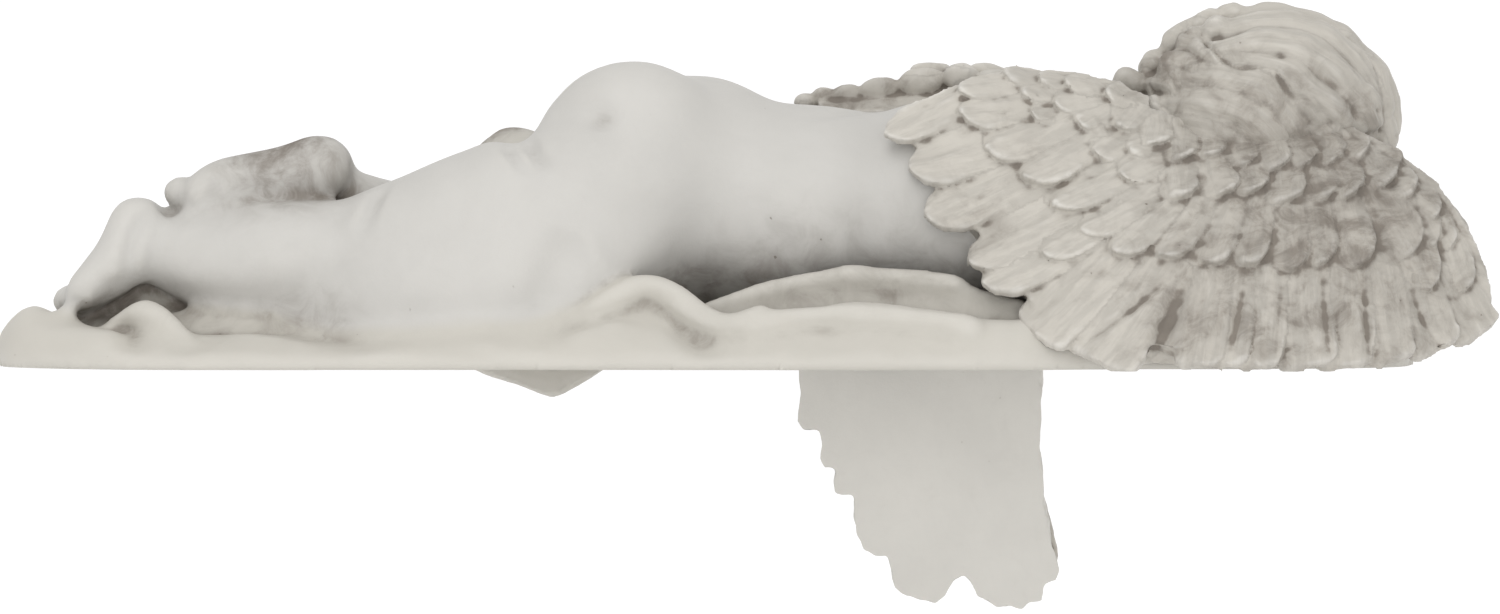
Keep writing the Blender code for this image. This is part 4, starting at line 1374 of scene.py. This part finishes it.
# Scales along the far wing's top edge, seen over the back: centre and radii, turned about Y.
EDGE_SCALES = (
    ((15.3, 20, 70.4), (3.6, 2.6, 2.5), (8, -8, 0)),
    ((20.2, 19, 71.6), (3.8, 2.6, 3.0), (8, 0, 0)),
    ((26.3, 18, 72.2), (4.9, 2.8, 3.2), (8, -6, 0)),
    ((35.2, 17, 73.8), (6, 3, 3.5), (8, -8, 0)),
    ((46.5, 16, 75.8), (6.8, 3.2, 4), (8, -8, 0)),
    ((49.5, 20, 79.2), (5.6, 2.6, 2), (8, 0, 0)),
    ((57, 14.5, 77), (5, 3, 3.6), (8, 0, 0)),
    ((65, 18, 78.8), (5.6, 2.6, 2), (8, 6, 0)),
    ((67, 13.5, 75.8), (6, 3, 3.4), (8, 6, 0)),
    ((40, 25, 68.5), (26, 4, 5), (0, -9, 0)),
    ((58, 24, 73), (14, 4, 5.5), (0, 0, 0)),
)


def near_sheet(u, v):
    """Points of the near wing's sheet, in shares, at stations u and shares v to the tips."""
    root, tip = curve_points(NEAR_RIDGE, u), curve_points(NEAR_TIPS, u)
    v = v[..., None]
    return root + (tip - root) * v + np.array((0, -0.75, 0.65)) * NEAR_BULGE * 4 * v * (1 - v)


def section_points(drop):
    """Points of the far wing's section, y and z, by the way down from the shelf's top."""
    up = np.array(FAR_SECTION[SECTION_ABOVE_SHELF::-1], float)
    down = np.array(FAR_SECTION[SECTION_ABOVE_SHELF:], float)
    up_steps = np.cumsum([0, *np.linalg.norm(np.diff(up, axis=0), axis=1)])
    down_steps = np.cumsum([0, *np.linalg.norm(np.diff(down, axis=0), axis=1)])
    knots = np.concatenate((up[::-1], down[1:]))
    ways = np.concatenate((-up_steps[::-1], down_steps[1:]))
    return [np.interp(drop, ways, knots[:, axis]) for axis in (0, 1)]


def far_sheet(u, v):
    """Points of the far wing's sheet, in shares."""
    root, tip = curve_points(FAR_ROOTS, u), curve_points(FAR_TIPS, u)
    place = root + (tip - root) * v[..., None]
    spots = [section_points(place[..., 1] + shift) for shift in (-8, -4, 0, 4, 8)]
    y, z = (sum(spot[axis] for spot in spots) / len(spots) for axis in (0, 1))
    top = np.clip((z - 50) / 20, 0, 1)
    z = z + top * 0.11 * np.clip(place[..., 0] - 42, -32, 14)
    front = (SHELF_EDGE + HANGING_THICKNESS) / SHARE
    return np.stack((place[..., 0], np.minimum(y, front), z), -1)


def sheet_normals(sheet, u, v, outward):
    """The sheet's unit normals, turned to the side that outward points to."""
    step = 0.02
    across = sheet(u + step, v) - sheet(u - step, v)
    along = sheet(u, np.minimum(v + step, 1)) - sheet(u, np.maximum(v - step, 0))
    normal = np.cross(across, along)
    normal /= np.maximum(np.linalg.norm(normal, axis=-1), 1e-9)[..., None]
    return normal * np.where((normal @ outward) > 0, 1.0, -1.0)[..., None]


def plate(clay, place, columns, steps, thickness, tops=None):
    """A closed curved plate: a grid mapped by place(a, b), with its back set under it."""
    grid = bmesh.new()
    bmesh.ops.create_grid(grid, x_segments=columns, y_segments=steps, size=0.5)
    count = len(grid.verts)
    made = bmesh.ops.extrude_face_region(grid, geom=list(grid.faces))["geom"]
    grid.verts.index_update()
    spots = np.array([vert.co[:2] for vert in grid.verts]) + 0.5
    depth = np.zeros(len(spots))
    depth[:count] = thickness
    top, normal, flow = place(spots[:, 0], spots[:, 1])
    points = (top - normal * depth[:, None]) * SHARE
    for vert, point in zip(grid.verts, points):
        vert.co = point
    if tops is not None:
        faces = [item for item in made if isinstance(item, bmesh.types.BMFace)]
        quads = np.array([[vert.index for vert in face.verts] for face in faces]) - count
        tops.append((points[count:], quads, flow[count:]))
    bmesh.ops.recalc_face_normals(grid, faces=list(grid.faces))
    pour(clay, grid)


def carry_flow(thing, tops):
    """Store on a fused piece which way its feathers or locks run: across, along and which one."""
    starts = np.cumsum([0, *(len(top[0]) for top in tops)])
    points = np.concatenate([top[0] for top in tops])
    quads = np.concatenate([top[1] + start for top, start in zip(tops, starts)])
    flow = np.concatenate([top[2] for top in tops])
    triangles = np.concatenate((quads[:, :3], quads[:, [0, 2, 3]]))
    tree, corners = triangle_tree(points, triangles)
    values = sampled(tree, corners, flow[triangles], read_points(thing.data))
    layer = thing.data.attributes.new("flow", "FLOAT_VECTOR", "POINT")
    layer.data.foreach_set("vector", np.ascontiguousarray(values, float).ravel())


def feather(clay, sheet, station, half_width, span, lift, outward, mood, tops):
    """One feather: a rounded blade whose one edge lies over its neighbour, with a shaft."""
    thickness = bpy.context.scene.angel_sizes.feather_thickness / SHARE
    bend, twist, wide = mood

    def place(a, b):
        side = a * 2 - 1
        b = np.sin(b * math.pi / 2)
        tip = np.maximum(0.0, b - FEATHER_STRAIGHT) / (1 - FEATHER_STRAIGHT)
        tip = np.maximum(0.0, 1 - tip**FEATHER_SQUARENESS) ** (1 / FEATHER_SQUARENESS)
        width = half_width * wide * (0.72 + 0.28 * np.minimum(1, b / 0.6)) * np.maximum(tip, 0.04)
        u = station + side * width + bend * half_width * b * b
        v = span[0] + (span[1] - span[0]) * b
        height = lift * b * b + FEATHER_ARCH * (1 - side * side)
        height += (FEATHER_TILT + twist) * side * (0.4 + 0.6 * b)
        height += SHAFT_HEIGHT * np.exp(-(((side + 0.08) / 0.11) ** 2)) * (1 - 0.6 * b)
        normal = sheet_normals(sheet, u, v, outward)
        middle = sheet(u, v)
        across = side * width * 12
        along = np.linalg.norm(middle - sheet(np.full_like(u, station), v * 0 + span[0]), axis=1)
        flow = np.stack((across, along, np.full_like(u, station * 7.3 + span[0] * 31)), 1)
        return middle + normal * height[:, None], normal, flow

    plate(clay, place, *FEATHER_GRID, thickness, tops)


def as_seen(points):
    """Points' x and z as they look from the front, carried to the upright plane through X."""
    settings = bpy.context.scene.stage_settings
    nearer = 1 + points[:, 1] * SHARE / settings.camera_distance
    level = settings.camera_height / SHARE
    seen = np.zeros_like(points)
    seen[:, 0] = points[:, 0] / nearer
    seen[:, 2] = level + (points[:, 2] - level) / nearer
    return seen


def seen_sheet(sheet, stations, outward):
    """A sheet's points and normals, found by x and z as they look from the front."""
    columns, rows = SEEN_GRID
    u, v = np.meshgrid(np.linspace(0, stations - 1, columns), np.linspace(-0.04, 1, rows))
    points = sheet(u, v).reshape(-1, 3)
    normals = sheet_normals(sheet, u, v, outward).reshape(-1, 3)
    corner = (np.arange(rows - 1)[:, None] * columns + np.arange(columns - 1)).reshape(-1, 1)
    first = corner + np.array((0, 1, columns + 1))
    second = corner + np.array((0, columns + 1, columns))
    triangles = np.concatenate((first, second))
    tree, corners = triangle_tree(as_seen(points), triangles)
    values = np.concatenate((points, normals), 1)[triangles]

    def find(spots):
        found = sampled(tree, corners, values, spots)
        place, normal = found[:, :3], found[:, 3:]
        place = place + (spots - as_seen(place)) * np.array((SEEN_PULL, 0, SEEN_PULL))
        normal = normal + outward / np.linalg.norm(outward)
        return place, normal / np.linalg.norm(normal, axis=1)[:, None]

    return find


def seen_feather(clay, find, row, proud, straight, squareness, mood, tops):
    """One feather from its root to its tip as they look from the front."""
    thickness = bpy.context.scene.angel_sizes.feather_thickness / SHARE
    bend, twist, wide = mood
    root, tip = np.array((row[0], 0, row[1])), np.array((row[2], 0, row[3]))
    reach = np.linalg.norm(tip - root)
    along = (tip - root) / reach
    sideways = np.array((-along[2], 0, along[0]))
    half_width = row[4] * wide

    def place(a, b):
        side = a * 2 - 1
        b = np.sin(b * math.pi / 2)
        end = np.maximum(0.0, b - straight) / (1 - straight)
        end = np.maximum(0.0, 1 - end**squareness) ** (1 / squareness)
        width = half_width * (0.74 + 0.26 * np.minimum(1, b / 0.6)) * np.maximum(end, 0.04)
        out = side * width + bend * half_width * b * b
        spot = root + along * (reach * b)[:, None] + sideways * out[:, None]
        middle, normal = find(spot)
        height = SEEN_ARCH * (1 - side * side) + (SEEN_TILT + twist) * side * (0.4 + 0.6 * b)
        height += SHAFT_HEIGHT * np.exp(-(((side + 0.08) / 0.11) ** 2)) * (1 - 0.6 * b)
        height = height * min(1, half_width / FULL_HALF_WIDTH) + proud * b * b
        flow = np.stack((side * width, reach * b, np.full_like(a, row[0] * 7.3 + row[1])), 1)
        return middle + normal * height[:, None], normal, flow

    plate(clay, place, *FEATHER_GRID, thickness, tops)


def near_feathers(clay, tops):
    """The near wing's feathers, tier over tier."""
    find = seen_sheet(near_sheet, len(NEAR_RIDGE), np.array((0.0, -1.0, 1.0)))
    moods = np.random.default_rng(len(NEAR_TIERS))
    for proud, straight, squareness, rows in NEAR_TIERS:
        for row in rows:
            mood = moods.uniform((-0.20, -0.3, 1.14), (0.20, 0.5, 1.28))
            lift = proud * moods.uniform(0.85, 1.2)
            seen_feather(clay, find, row, lift, straight, squareness, mood, tops)


def wing(name, sheet, stations, outward, thickness, rows, extras):
    """A wing: a thick sheet under overlapping feathers, fused to one skin."""
    sizes = bpy.context.scene.angel_sizes
    outward = np.array(outward, float)
    moods = np.random.default_rng(len(rows) * stations)
    clay = bmesh.new()
    tops = []
    last = stations - 1

    def place(a, b):
        u, v = 0.25 + a * (last - 0.5), b * 0.90
        middle, normals = sheet(u, v), sheet_normals(sheet, u, v, outward)
        return middle + normals * BASE_RISE, normals, np.zeros_like(middle)

    plate(clay, place, 56, 24, thickness / SHARE)
    for start, end, count, lift in rows:
        spacing = last / count
        for k in range(count):
            station = spacing * (k + 0.5 + moods.uniform(-0.14, 0.14))
            reach = end * (1 - moods.uniform(0.0, 0.11))
            mood = moods.uniform((-0.45, -0.5, 0.86), (0.45, 0.5, 1.16))
            proud = lift * moods.uniform(0.7, 1.25)
            half_width = spacing * FEATHER_OVERLAP
            span = (start, reach)
            feather(clay, sheet, station, half_width, span, proud, outward, mood, tops)
    extras(clay, tops)
    thing = object_from(clay, name)
    fuse(thing, sizes.wing_grain, 1)
    drop_hollows(thing)
    roughen(thing, ((0.011, 0.00018, 5), (0.0040, 0.00011, 6)))
    carry_flow(thing, tops)
    return thing


def bare_back(thing, material):
    """Give the flat back past the shelf's edge a stone of its own, painted lighter as painted light."""
    mesh = thing.data
    mesh.materials.append(material)
    centres = np.empty(len(mesh.polygons) * 3)
    mesh.polygons.foreach_get("center", centres)
    centres = centres.reshape(-1, 3)
    flat = (centres[:, 1] < SHELF_EDGE + 0.0035) & (centres[:, 2] < 0.004)
    mesh.polygons.foreach_set("material_index", flat.astype(np.int32))
    mesh.update()


def hanging_back(clay, tops):
    """The far wing's plain back with its stepped tips, and the scales of its top edge."""
    shape = bmesh.new()
    rim = [shape.verts.new(shares(x, SHELF_EDGE / SHARE, z)) for x, z in HANGING_OUTLINE]
    face = shape.faces.new(rim)
    made = bmesh.ops.extrude_face_region(shape, geom=[face])["geom"]
    for item in made:
        if isinstance(item, bmesh.types.BMVert):
            item.co.y += HANGING_BACK * SHARE
    bmesh.ops.recalc_face_normals(shape, faces=list(shape.faces))
    pour(clay, shape)
    masses(clay, EDGE_SCALES)


# The head, in its own axes: side points up to the sky, face out of the shelf, crown to +X.

HEAD_CENTRE = (136.5, 3, 62.5)
HEAD_FACING = (-0.12, 0.94, -0.26)
HEAD_CROWN = (0.95, 0.10, 0.28)
SKULL = (30.5, 32.5, 34)
FACE = (
    ((0, 8, 8), (26, 25.5, 24)),
    ((12.5, 17, -13), (14, 13, 13)),
    ((-12.5, 17, -13), (14, 13, 13)),
    ((0, 15, -20), (17, 14, 12)),
    ((0, 26, -28), (7, 6, 5.5)),
    ((0, 28.5, -20), (9, 6, 6.5)),
    ((0, 34, -17.6), (5.6, 2.6, 2.0)),
    ((0, 33.4, -21.2), (4.8, 2.6, 2.2)),
    ((11.2, 25.8, -3), (6.8, 5.6, 4.8)),
    ((-11.2, 25.8, -3), (6.8, 5.6, 4.8)),
    ((0, 36, -10), (3.7, 3.6, 3.4)),
    ((3.3, 34, -11), (2.4, 2.4, 2.3)),
    ((-3.3, 34, -11), (2.4, 2.4, 2.3)),
    ((30, -2, -9), (4, 7, 9)),
    ((-30, -2, -9), (4, 7, 9)),
)
NOSE = ((0, 30.5, 0, 3.2), (0, 33, -5, 3.0), (0, 35.5, -9, 3.2))

# Locks of the head's back as they are seen: a path of x and z from the head's centre, then the
# lock's half width and height.
SEEN_LOCKS = (
    (((-17, 29), (-8, 32), (6, 32.5), (18, 29), (29, 20), (35, 8), (35, -6)), 6.5, 4.6),
    (((-18, 25), (-8, 26.5), (5, 27), (16, 23.5), (25, 15), (31, 4), (33, -10)), 7.0, 5.2),
    (((-16, 20), (-8, 21), (2, 21.5), (12, 18), (21, 10), (27, 0), (30, -14)), 7.0, 5.8),
    (((-12, 18), (-4, 17), (4, 14), (9, 9.5), (16, 5), (23, -3), (26, -14)), 5.0, 5.8),
    (((-27, 13), (-19, 13.5), (-10, 12), (-2, 9), (4, 4), (9, -5), (12, -16)), 6.5, 4.2),
    (((-28, 7), (-20, 7), (-11, 5), (-3, 1), (3, -6), (6, -14)), 6.5, 4.4),
    (((-29, 1), (-21, 0), (-12, -3), (-4, -8), (0, -14)), 6.5, 3.6),
    (((6, 4), (12, 0), (17, -6), (21, -14)), 4.5, 3.6),
    (((-24, 30), (-22, 24), (-16, 21), (-13, 15), (-17, 10)), 3.2, 3.6),
    (((-31, 14), (-26, 18), (-20, 17), (-19, 11)), 2.8, 3.2),
    (((-33, 8), (-30, 12), (-25, 11), (-24, 6)), 2.8, 3.0),
    (((-34, 2), (-30, 4), (-26, 2), (-26, -4)), 2.8, 3.0),
    (((-3, 16), (3, 12.5), (8, 8), (13, 2), (19, -4)), 4.6, 4.6),
    (((20, 29), (27, 24), (33, 16), (35, 8), (36, -1), (36, -9), (34, -16)), 6.0, 6.2),
    (((22, 24), (28, 17), (30, 9), (31, 1), (31, -8)), 5.0, 5.6),
)
# Grooves and pits pressed into the hair, as x and z, then half width and depth.
HAIR_CREASES = (
    (((119, 88), (121.5, 84.5), (126, 79.4), (135.7, 78.3), (139.3, 74.1), (142.5, 70.4),
      (147, 69.6)), 1.0, 0.6),
    (((148.8, 79.4), (152.5, 74.6), (156.7, 73.1), (161.4, 73.6)), 1.6, 0.5),
    (((156.7, 88.3), (164.6, 83.6), (167.2, 77)), 1.6, 0.5),
    (((120.5, 86.5), (120.5, 85.2), (120.3, 83.8)), 1.7, 1.5),
    (((122.5, 93.5), (124, 93.2), (125.5, 93.0)), 1.7, 1.2),
    (((112, 82), (112.2, 80.4), (112, 79)), 1.6, 1.0),
    (((106, 74), (107, 72.5), (109, 72)), 1.5, 0.9),
    (((115, 90), (116, 88.5), (117, 88)), 1.5, 0.9),
    (((138.2, 82.6), (139.3, 81.4), (140.4, 80.4)), 1.7, 0.5),
)
WHORL = (0.72, -0.65, -0.25)
LOCK_RINGS = (
    (60, 7, 46), (84, 9, 44), (108, 8, 40), (134, 6, 32),
)
LOCK_WIDTH = 8.5
LOCK_HEIGHT = 3.6
LOCK_SWIRL = 0.8
LOCK_WAVE = 0.26
STRANDS = 3
CURL_SPOTS = (
    (-30, -12, 15), (-32, -8, 2), (-26, -18, -8), (-22, -10, 26), (-14, -14, 28), (-8, -24, 22),
    (-30, 4, -14), (-20, 14, -22), (-26, -2, 24),
)

# Small ringlets of the head's back, as x and z from its centre, then their reach and radius.
RINGLETS = (
    (-15, 31, 4.2, 2.3), (-24, 26, 4.4, 2.3), (-19, 23, 3.4, 2.0), (-30, 18, 4.0, 2.2),
    (-24, 16, 3.4, 1.9), (-33, 9, 3.6, 2.1), (-12, 26, 3.2, 1.9), (-29, 5, 3.2, 1.9),
    (-35, 1, 3.4, 2.2), (-8, 33, 3.2, 2.0), (28, -10, 3.6, 2.0), (34, -14, 3.8, 2.2),
)
KNOB = ((100, 0, 72, 3.2), (99.6, -1, 75, 2.6), (100.4, -2, 77.2, 2.4), (103.5, -2, 75, 3.0))


def head_axes():
    """The head's side, facing and crown directions."""
    facing = Vector(HEAD_FACING).normalized()
    crown = Vector(HEAD_CROWN)
    crown = (crown - facing * crown.dot(facing)).normalized()
    return crown.cross(facing), facing, crown


def head_points(spots):
    """Points given in the head's own axes, in shares of the statue's frame."""
    across, facing, crown = (np.array(axis) for axis in head_axes())
    spots = np.asarray(spots, float)
    return (
        np.array(HEAD_CENTRE)
        + spots[..., 0:1] * across
        + spots[..., 1:2] * facing
        + spots[..., 2:3] * crown
    )


def head_ball(shape, centre, radii, detail=4):
    """An ellipsoid in the head's own axes."""
    across, facing, crown = head_axes()
    turned = Matrix((across, facing, crown)).transposed().to_quaternion()
    place = Matrix.LocRotScale(shares(*head_points(centre)), turned, shares(*radii))
    bmesh.ops.create_icosphere(shape, subdivisions=detail, radius=1.0, matrix=place)


def on_skull(directions, raise_by):
    """Where directions from the head's centre meet the skull, raised by some shares."""
    radius = 1 / np.sqrt(((directions / np.array(SKULL)) ** 2).sum(-1))
    return directions * (radius + raise_by)[..., None]


def whorl_directions(tilt, turn):
    """Unit directions at angles from the hair's whorl, turned about it."""
    pole = Vector(WHORL).normalized()
    first = pole.orthogonal().normalized()
    second = pole.cross(first)
    pole, first, second = (np.array(axis) for axis in (pole, first, second))
    flat = first * np.cos(turn)[..., None] + second * np.sin(turn)[..., None]
    return pole * np.cos(tilt)[..., None] + flat * np.sin(tilt)[..., None]


def in_face(direction):
    """Whether a direction from the head's centre comes out in the bare face."""
    return direction[1] > 0.40 and direction[2] < 0.62 and abs(direction[0]) < 0.80


def seen_on_skull(x, z):
    """Unit directions, in the head's axes, of spots seen at x and z on the side facing -Y."""
    axes = np.array(head_axes())
    x, z = np.asarray(x, float), np.asarray(z, float)
    form = (axes.T / np.array(SKULL) ** 2) @ axes
    flat = np.stack((x, np.zeros_like(x), z), -1)
    a = form[1, 1]
    b = 2 * (flat @ form[:, 1])
    c = ((flat @ form) * flat).sum(-1) - 1
    inside = np.maximum(b * b - 4 * a * c, 0.0)
    y = (-b - np.sqrt(inside)) / (2 * a)
    spots = np.stack((x, y, z), -1) @ axes.T
    return spots / np.linalg.norm(spots, axis=-1, keepdims=True)


def ribbon(clay, spine, width, height, phase, tops):
    """One broad lock lying on the skull along unit directions, rippled by its strands."""
    count = len(spine)

    def place(a, b):
        at = b * (count - 1)
        low = np.minimum(at.astype(int), count - 2)
        share = (at - low)[:, None]
        middle = spine[low] * (1 - share) + spine[low + 1] * share
        along = spine[low + 1] - spine[low]
        along /= np.linalg.norm(along, axis=1)[:, None]
        up = middle / np.linalg.norm(middle, axis=1)[:, None]
        sideways = np.cross(along, up)
        side = a * 2 - 1
        taper = np.sin(math.pi * (0.12 + 0.80 * b)) ** 0.7
        hill = height * taper * np.sqrt(np.maximum(0.0, 1 - side**2) + 0.01)
        ripple = 0.24 * np.cos(side * math.pi * STRANDS + phase + 2.2 * b) * taper
        lift = hill + ripple * (1 - side**4) + 0.8 * np.sin(math.pi * b) ** 2
        spot = on_skull(up, -2.0) + sideways * (side * width * taper)[:, None] + up * lift[:, None]
        flow = np.stack((side * width, b * count * 1.5, np.full_like(a, phase * 5)), 1)
        return head_points(spot), head_points(spot + up) - head_points(spot), flow

    plate(clay, place, 22, 34, 3.0, tops)


def lock(clay, tilt, turn, reach, width, height, phase, tops):
    """One wavy lock that swirls out of the whorl, cut off where the face begins."""
    t = np.linspace(0, 1, 26)
    swing = turn + LOCK_SWIRL * t + LOCK_WAVE * np.sin(2 * math.pi * t + phase)
    spine = whorl_directions(np.radians(tilt + reach * t), swing)
    free = next((k for k in range(len(spine)) if in_face(spine[k])), len(spine))
    if free >= 12:
        ribbon(clay, spine[:free], width, height, phase, tops)


def curl(clay, direction, reach=5.2, radius=2.7):
    """A small snail of hair lying on the skull."""
    direction = Vector(direction).normalized()
    first = direction.orthogonal().normalized()
    second = direction.cross(first)
    path = []
    for step in range(15):
        angle = 0.36 * math.pi * step
        middle = on_skull(np.array(direction), np.array(0.6 + 0.20 * step))
        wide = reach * (1 - 0.045 * step)
        spot = middle + np.array(first * math.cos(angle) + second * math.sin(angle)) * wide
        path.append((*head_points(spot), radius * (1 - 0.03 * step)))
    limb(clay, path, steps=1)


def head_mass():
    """The skull and the face asleep, fused and smoothed."""
    shape = bmesh.new()
    head_ball(shape, (0, 0, 0), SKULL)
    for centre, radii in FACE:
        head_ball(shape, centre, radii)
    clay = bmesh.new()
    pour(clay, shape)
    limb(clay, [(*head_points(row[:3]), row[3]) for row in NOSE], steps=2)
    thing = object_from(clay, "head mass")
    fuse(thing, SKULL_GRAIN, 5)
    return thing


def head_with_hair():
    """The head with locks swept over its back, locks round its sides and curls at its nape."""
    sizes = bpy.context.scene.angel_sizes
    bare = head_mass()
    clay = bmesh.new()
    tops = []
    for ring, (tilt, count, reach) in enumerate(LOCK_RINGS):
        for k in range(count):
            turn = 2 * math.pi * (k + 0.5 * (ring % 2)) / count
            width = LOCK_WIDTH * (1 + 0.12 * math.sin(k * 2.1 + ring))
            height = LOCK_HEIGHT * (1 + 0.15 * math.sin(k * 1.3 + 2 * ring))
            lock(clay, tilt, turn, reach, width, height, k * 1.7 + ring, tops)
    for index, (path, width, height) in enumerate(SEEN_LOCKS):
        rows = along_path(path, 6)
        ribbon(clay, seen_on_skull(rows[:, 0], rows[:, 1]), width, height, index * 1.3, tops)
    for spot in CURL_SPOTS:
        curl(clay, spot)
    limb(clay, KNOB)
    for x, z, reach, radius in RINGLETS:
        curl(clay, seen_on_skull(x, z), reach, radius)
    clay.from_mesh(bare.data)
    bpy.data.objects.remove(bare)
    thing = object_from(clay, "head")
    fuse(thing, sizes.head_grain, 4)
    drop_hollows(thing)
    crease_seen(thing, HAIR_CREASES)
    roughen(thing, ((0.012, 0.00035, 8), (0.005, 0.00012, 9)))
    carry_flow(thing, tops)
    return thing


# The operators.


class AddFigure(Operator):
    """Add the sleeping child and the folded cloth it lies on"""

    bl_idname = "angel.add_figure"
    bl_label = "Figure and Cloth"

    def execute(self, context):
        colours = context.scene.stone_colours
        figure = figure_and_cloth(painted_shade_field())
        material = stone("stone figure", colours.skin, FIGURE_WASH_AND_SHADE, cloth_colour=colours.cloth)
        finish_piece(figure, material)
        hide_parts(CAST)
        return {"FINISHED"}


class AddWings(Operator):
    """Add the near wing and the far wing that hangs past the shelf's edge"""

    bl_idname = "angel.add_wings"
    bl_label = "Wings"

    def execute(self, context):
        sizes = context.scene.angel_sizes
        colours = context.scene.stone_colours
        material = stone("stone plumage", colours.plumage, PLUMAGE_WASH_AND_SHADE, strands=PLUMAGE_LINES)
        field = painted_shade_field()
        near_wing = wing(
            "near_wing", near_sheet, len(NEAR_RIDGE), (0, -1, 1), NEAR_WING_THICKNESS, (),
            near_feathers,
        )
        far_wing = wing(
            "far_wing", far_sheet, len(FAR_ROOTS), (0, 1, 0.4), HANGING_THICKNESS, FAR_ROWS,
            hanging_back,
        )
        crease_seen(near_wing, NEAR_GROOVES)
        rest_on_shelf(near_wing)
        true_up(far_wing, 0.0010)
        for piece in (near_wing, far_wing):
            mark_hollows(piece)
            thin_out(piece, sizes.triangle_limit)
            mark_painted_shade(piece, field)
            finish_piece(piece, material)
            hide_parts(CAST)
        # The plain back's stone is painted lighter as painted light, with no painted shade.
        plain = stone("stone plain back painted light", colours.hanging_back, PLAIN_WASH)
        bare_back(far_wing, plain)
        return {"FINISHED"}


class AddHead(Operator):
    """Add the head asleep with its swirled hair"""

    bl_idname = "angel.add_head"
    bl_label = "Head and Hair"

    def execute(self, context):
        colours = context.scene.stone_colours
        piece = head_with_hair()
        mark_hollows(piece)
        mark_painted_shade(piece, painted_shade_field())
        thin_out(piece, context.scene.angel_sizes.triangle_limit)
        material = stone("stone hair", colours.plumage, HAIR_WASH_AND_SHADE, strands=HAIR_LINES)
        finish_piece(piece, material)
        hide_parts(CAST)
        return {"FINISHED"}


# The white sweep in metres: how far it lies under the statue, its half width and near edge, and
# the steps up into its backdrop, which stands beyond a camera that looks from behind.
FLOOR_GAP = 0.018
SWEEP_HALF_WIDTH = 7.0
SWEEP_NEAR_EDGE = -6.0
SWEEP_RISE = ((4.9, 0.0), (5.4, 0.08), (5.75, 0.3), (5.9, 0.7), (5.95, 3.2))


class AddStage(Operator):
    """Add the camera, the white floor and the soft light"""

    bl_idname = "angel.add_stage"
    bl_label = "Stage"

    def execute(self, context):
        settings = context.scene.stage_settings
        scene = context.scene
        camera_data = bpy.data.cameras.new("camera")
        camera = bpy.data.objects.new("camera", camera_data)
        scene.collection.objects.link(camera)
        camera.location = (0.0, -settings.camera_distance, settings.camera_height)
        aim = Vector((0.0, 0.0, 0.015)) - camera.location
        camera.rotation_euler = aim.to_track_quat("-Z", "Y").to_euler()
        camera_data.sensor_width = 36.0
        camera_data.lens = 36.0 * settings.camera_distance / settings.framed_width
        camera_data.clip_start = 0.01
        scene.camera = camera
        add_sweep(CAST_BOX[0][2] - FLOOR_GAP)
        add_light("key", (-0.12, -0.42, 0.75), 0.7, settings.key_power)
        add_light("fill", (0.1, -1.5, -0.02), 1.1, settings.fill_power)
        world = bpy.data.worlds.new("studio")
        world.use_nodes = True
        world.node_tree.nodes["Background"].inputs["Color"].default_value = (1, 1, 1, 1)
        world.node_tree.nodes["Background"].inputs["Strength"].default_value = settings.sky
        scene.world = world
        scene.view_settings.view_transform = "Standard"
        return {"FINISHED"}


def add_sweep(level):
    """A white floor that curves up into a backdrop."""
    shape = bmesh.new()
    sides = (-SWEEP_HALF_WIDTH, SWEEP_HALF_WIDTH)
    row = [shape.verts.new((x, SWEEP_NEAR_EDGE, level)) for x in sides]
    edge = shape.edges.new(row)
    for y, z in SWEEP_RISE:
        made = bmesh.ops.extrude_edge_only(shape, edges=[edge])["geom"]
        edge = next(item for item in made if isinstance(item, bmesh.types.BMEdge))
        for vert in edge.verts:
            vert.co.y, vert.co.z = y, level + z
    bmesh.ops.recalc_face_normals(shape, faces=list(shape.faces))
    sweep = object_from(shape, "sweep")
    sweep.data.shade_smooth()
    material = bpy.data.materials.new("white sweep")
    material.use_nodes = True
    shader = material.node_tree.nodes["Principled BSDF"]
    shader.inputs["Base Color"].default_value = (0.97, 0.97, 0.97, 1.0)
    shader.inputs["Roughness"].default_value = 0.9
    shader.inputs["Emission Color"].default_value = (1.0, 1.0, 1.0, 1.0)
    shader.inputs["Emission Strength"].default_value = 0.14
    sweep.data.materials.append(material)


def add_light(name, place, size, power):
    """A soft square light that faces the statue."""
    data = bpy.data.lights.new(name, "AREA")
    data.size = size
    data.energy = power
    light = bpy.data.objects.new(name, data)
    bpy.context.scene.collection.objects.link(light)
    light.location = place
    aim = Vector((0.0, 0.0, 0.02)) - light.location
    light.rotation_euler = aim.to_track_quat("-Z", "Y").to_euler()


class AngelPanel(Panel):
    """The statue's pieces, stone and stage"""

    bl_idname = "ANGEL_PT_statue"
    bl_label = "Sleeping Angel Statue"
    bl_space_type = "VIEW_3D"
    bl_region_type = "UI"
    bl_category = "Angel"

    def draw(self, context):
        for operator in (AddFigure, AddWings, AddHead, AddStage):
            self.layout.operator(operator.bl_idname)
        for settings in ("angel_sizes", "stone_colours", "stage_settings"):
            group = getattr(context.scene, settings)
            box = self.layout.box()
            for name in group.__annotations__:
                box.prop(group, name)


CLASSES = (
    AngelSizes,
    StoneColours,
    StageSettings,
    AddFigure,
    AddWings,
    AddHead,
    AddStage,
    AngelPanel,
)


def register():
    """Register the classes and give scenes their settings."""
    for item in CLASSES:
        bpy.utils.register_class(item)
    bpy.types.Scene.angel_sizes = PointerProperty(type=AngelSizes)
    bpy.types.Scene.stone_colours = PointerProperty(type=StoneColours)
    bpy.types.Scene.stage_settings = PointerProperty(type=StageSettings)


def unregister():
    """Take the settings and the classes away again."""
    del bpy.types.Scene.stage_settings
    del bpy.types.Scene.stone_colours
    del bpy.types.Scene.angel_sizes
    for item in reversed(CLASSES):
        bpy.utils.unregister_class(item)


def main():
    """Build the statue and its stage."""
    register()
    bpy.ops.angel.add_figure()
    bpy.ops.angel.add_wings()
    bpy.ops.angel.add_head()
    bpy.ops.angel.add_stage()


if __name__ == "__main__":
    main()
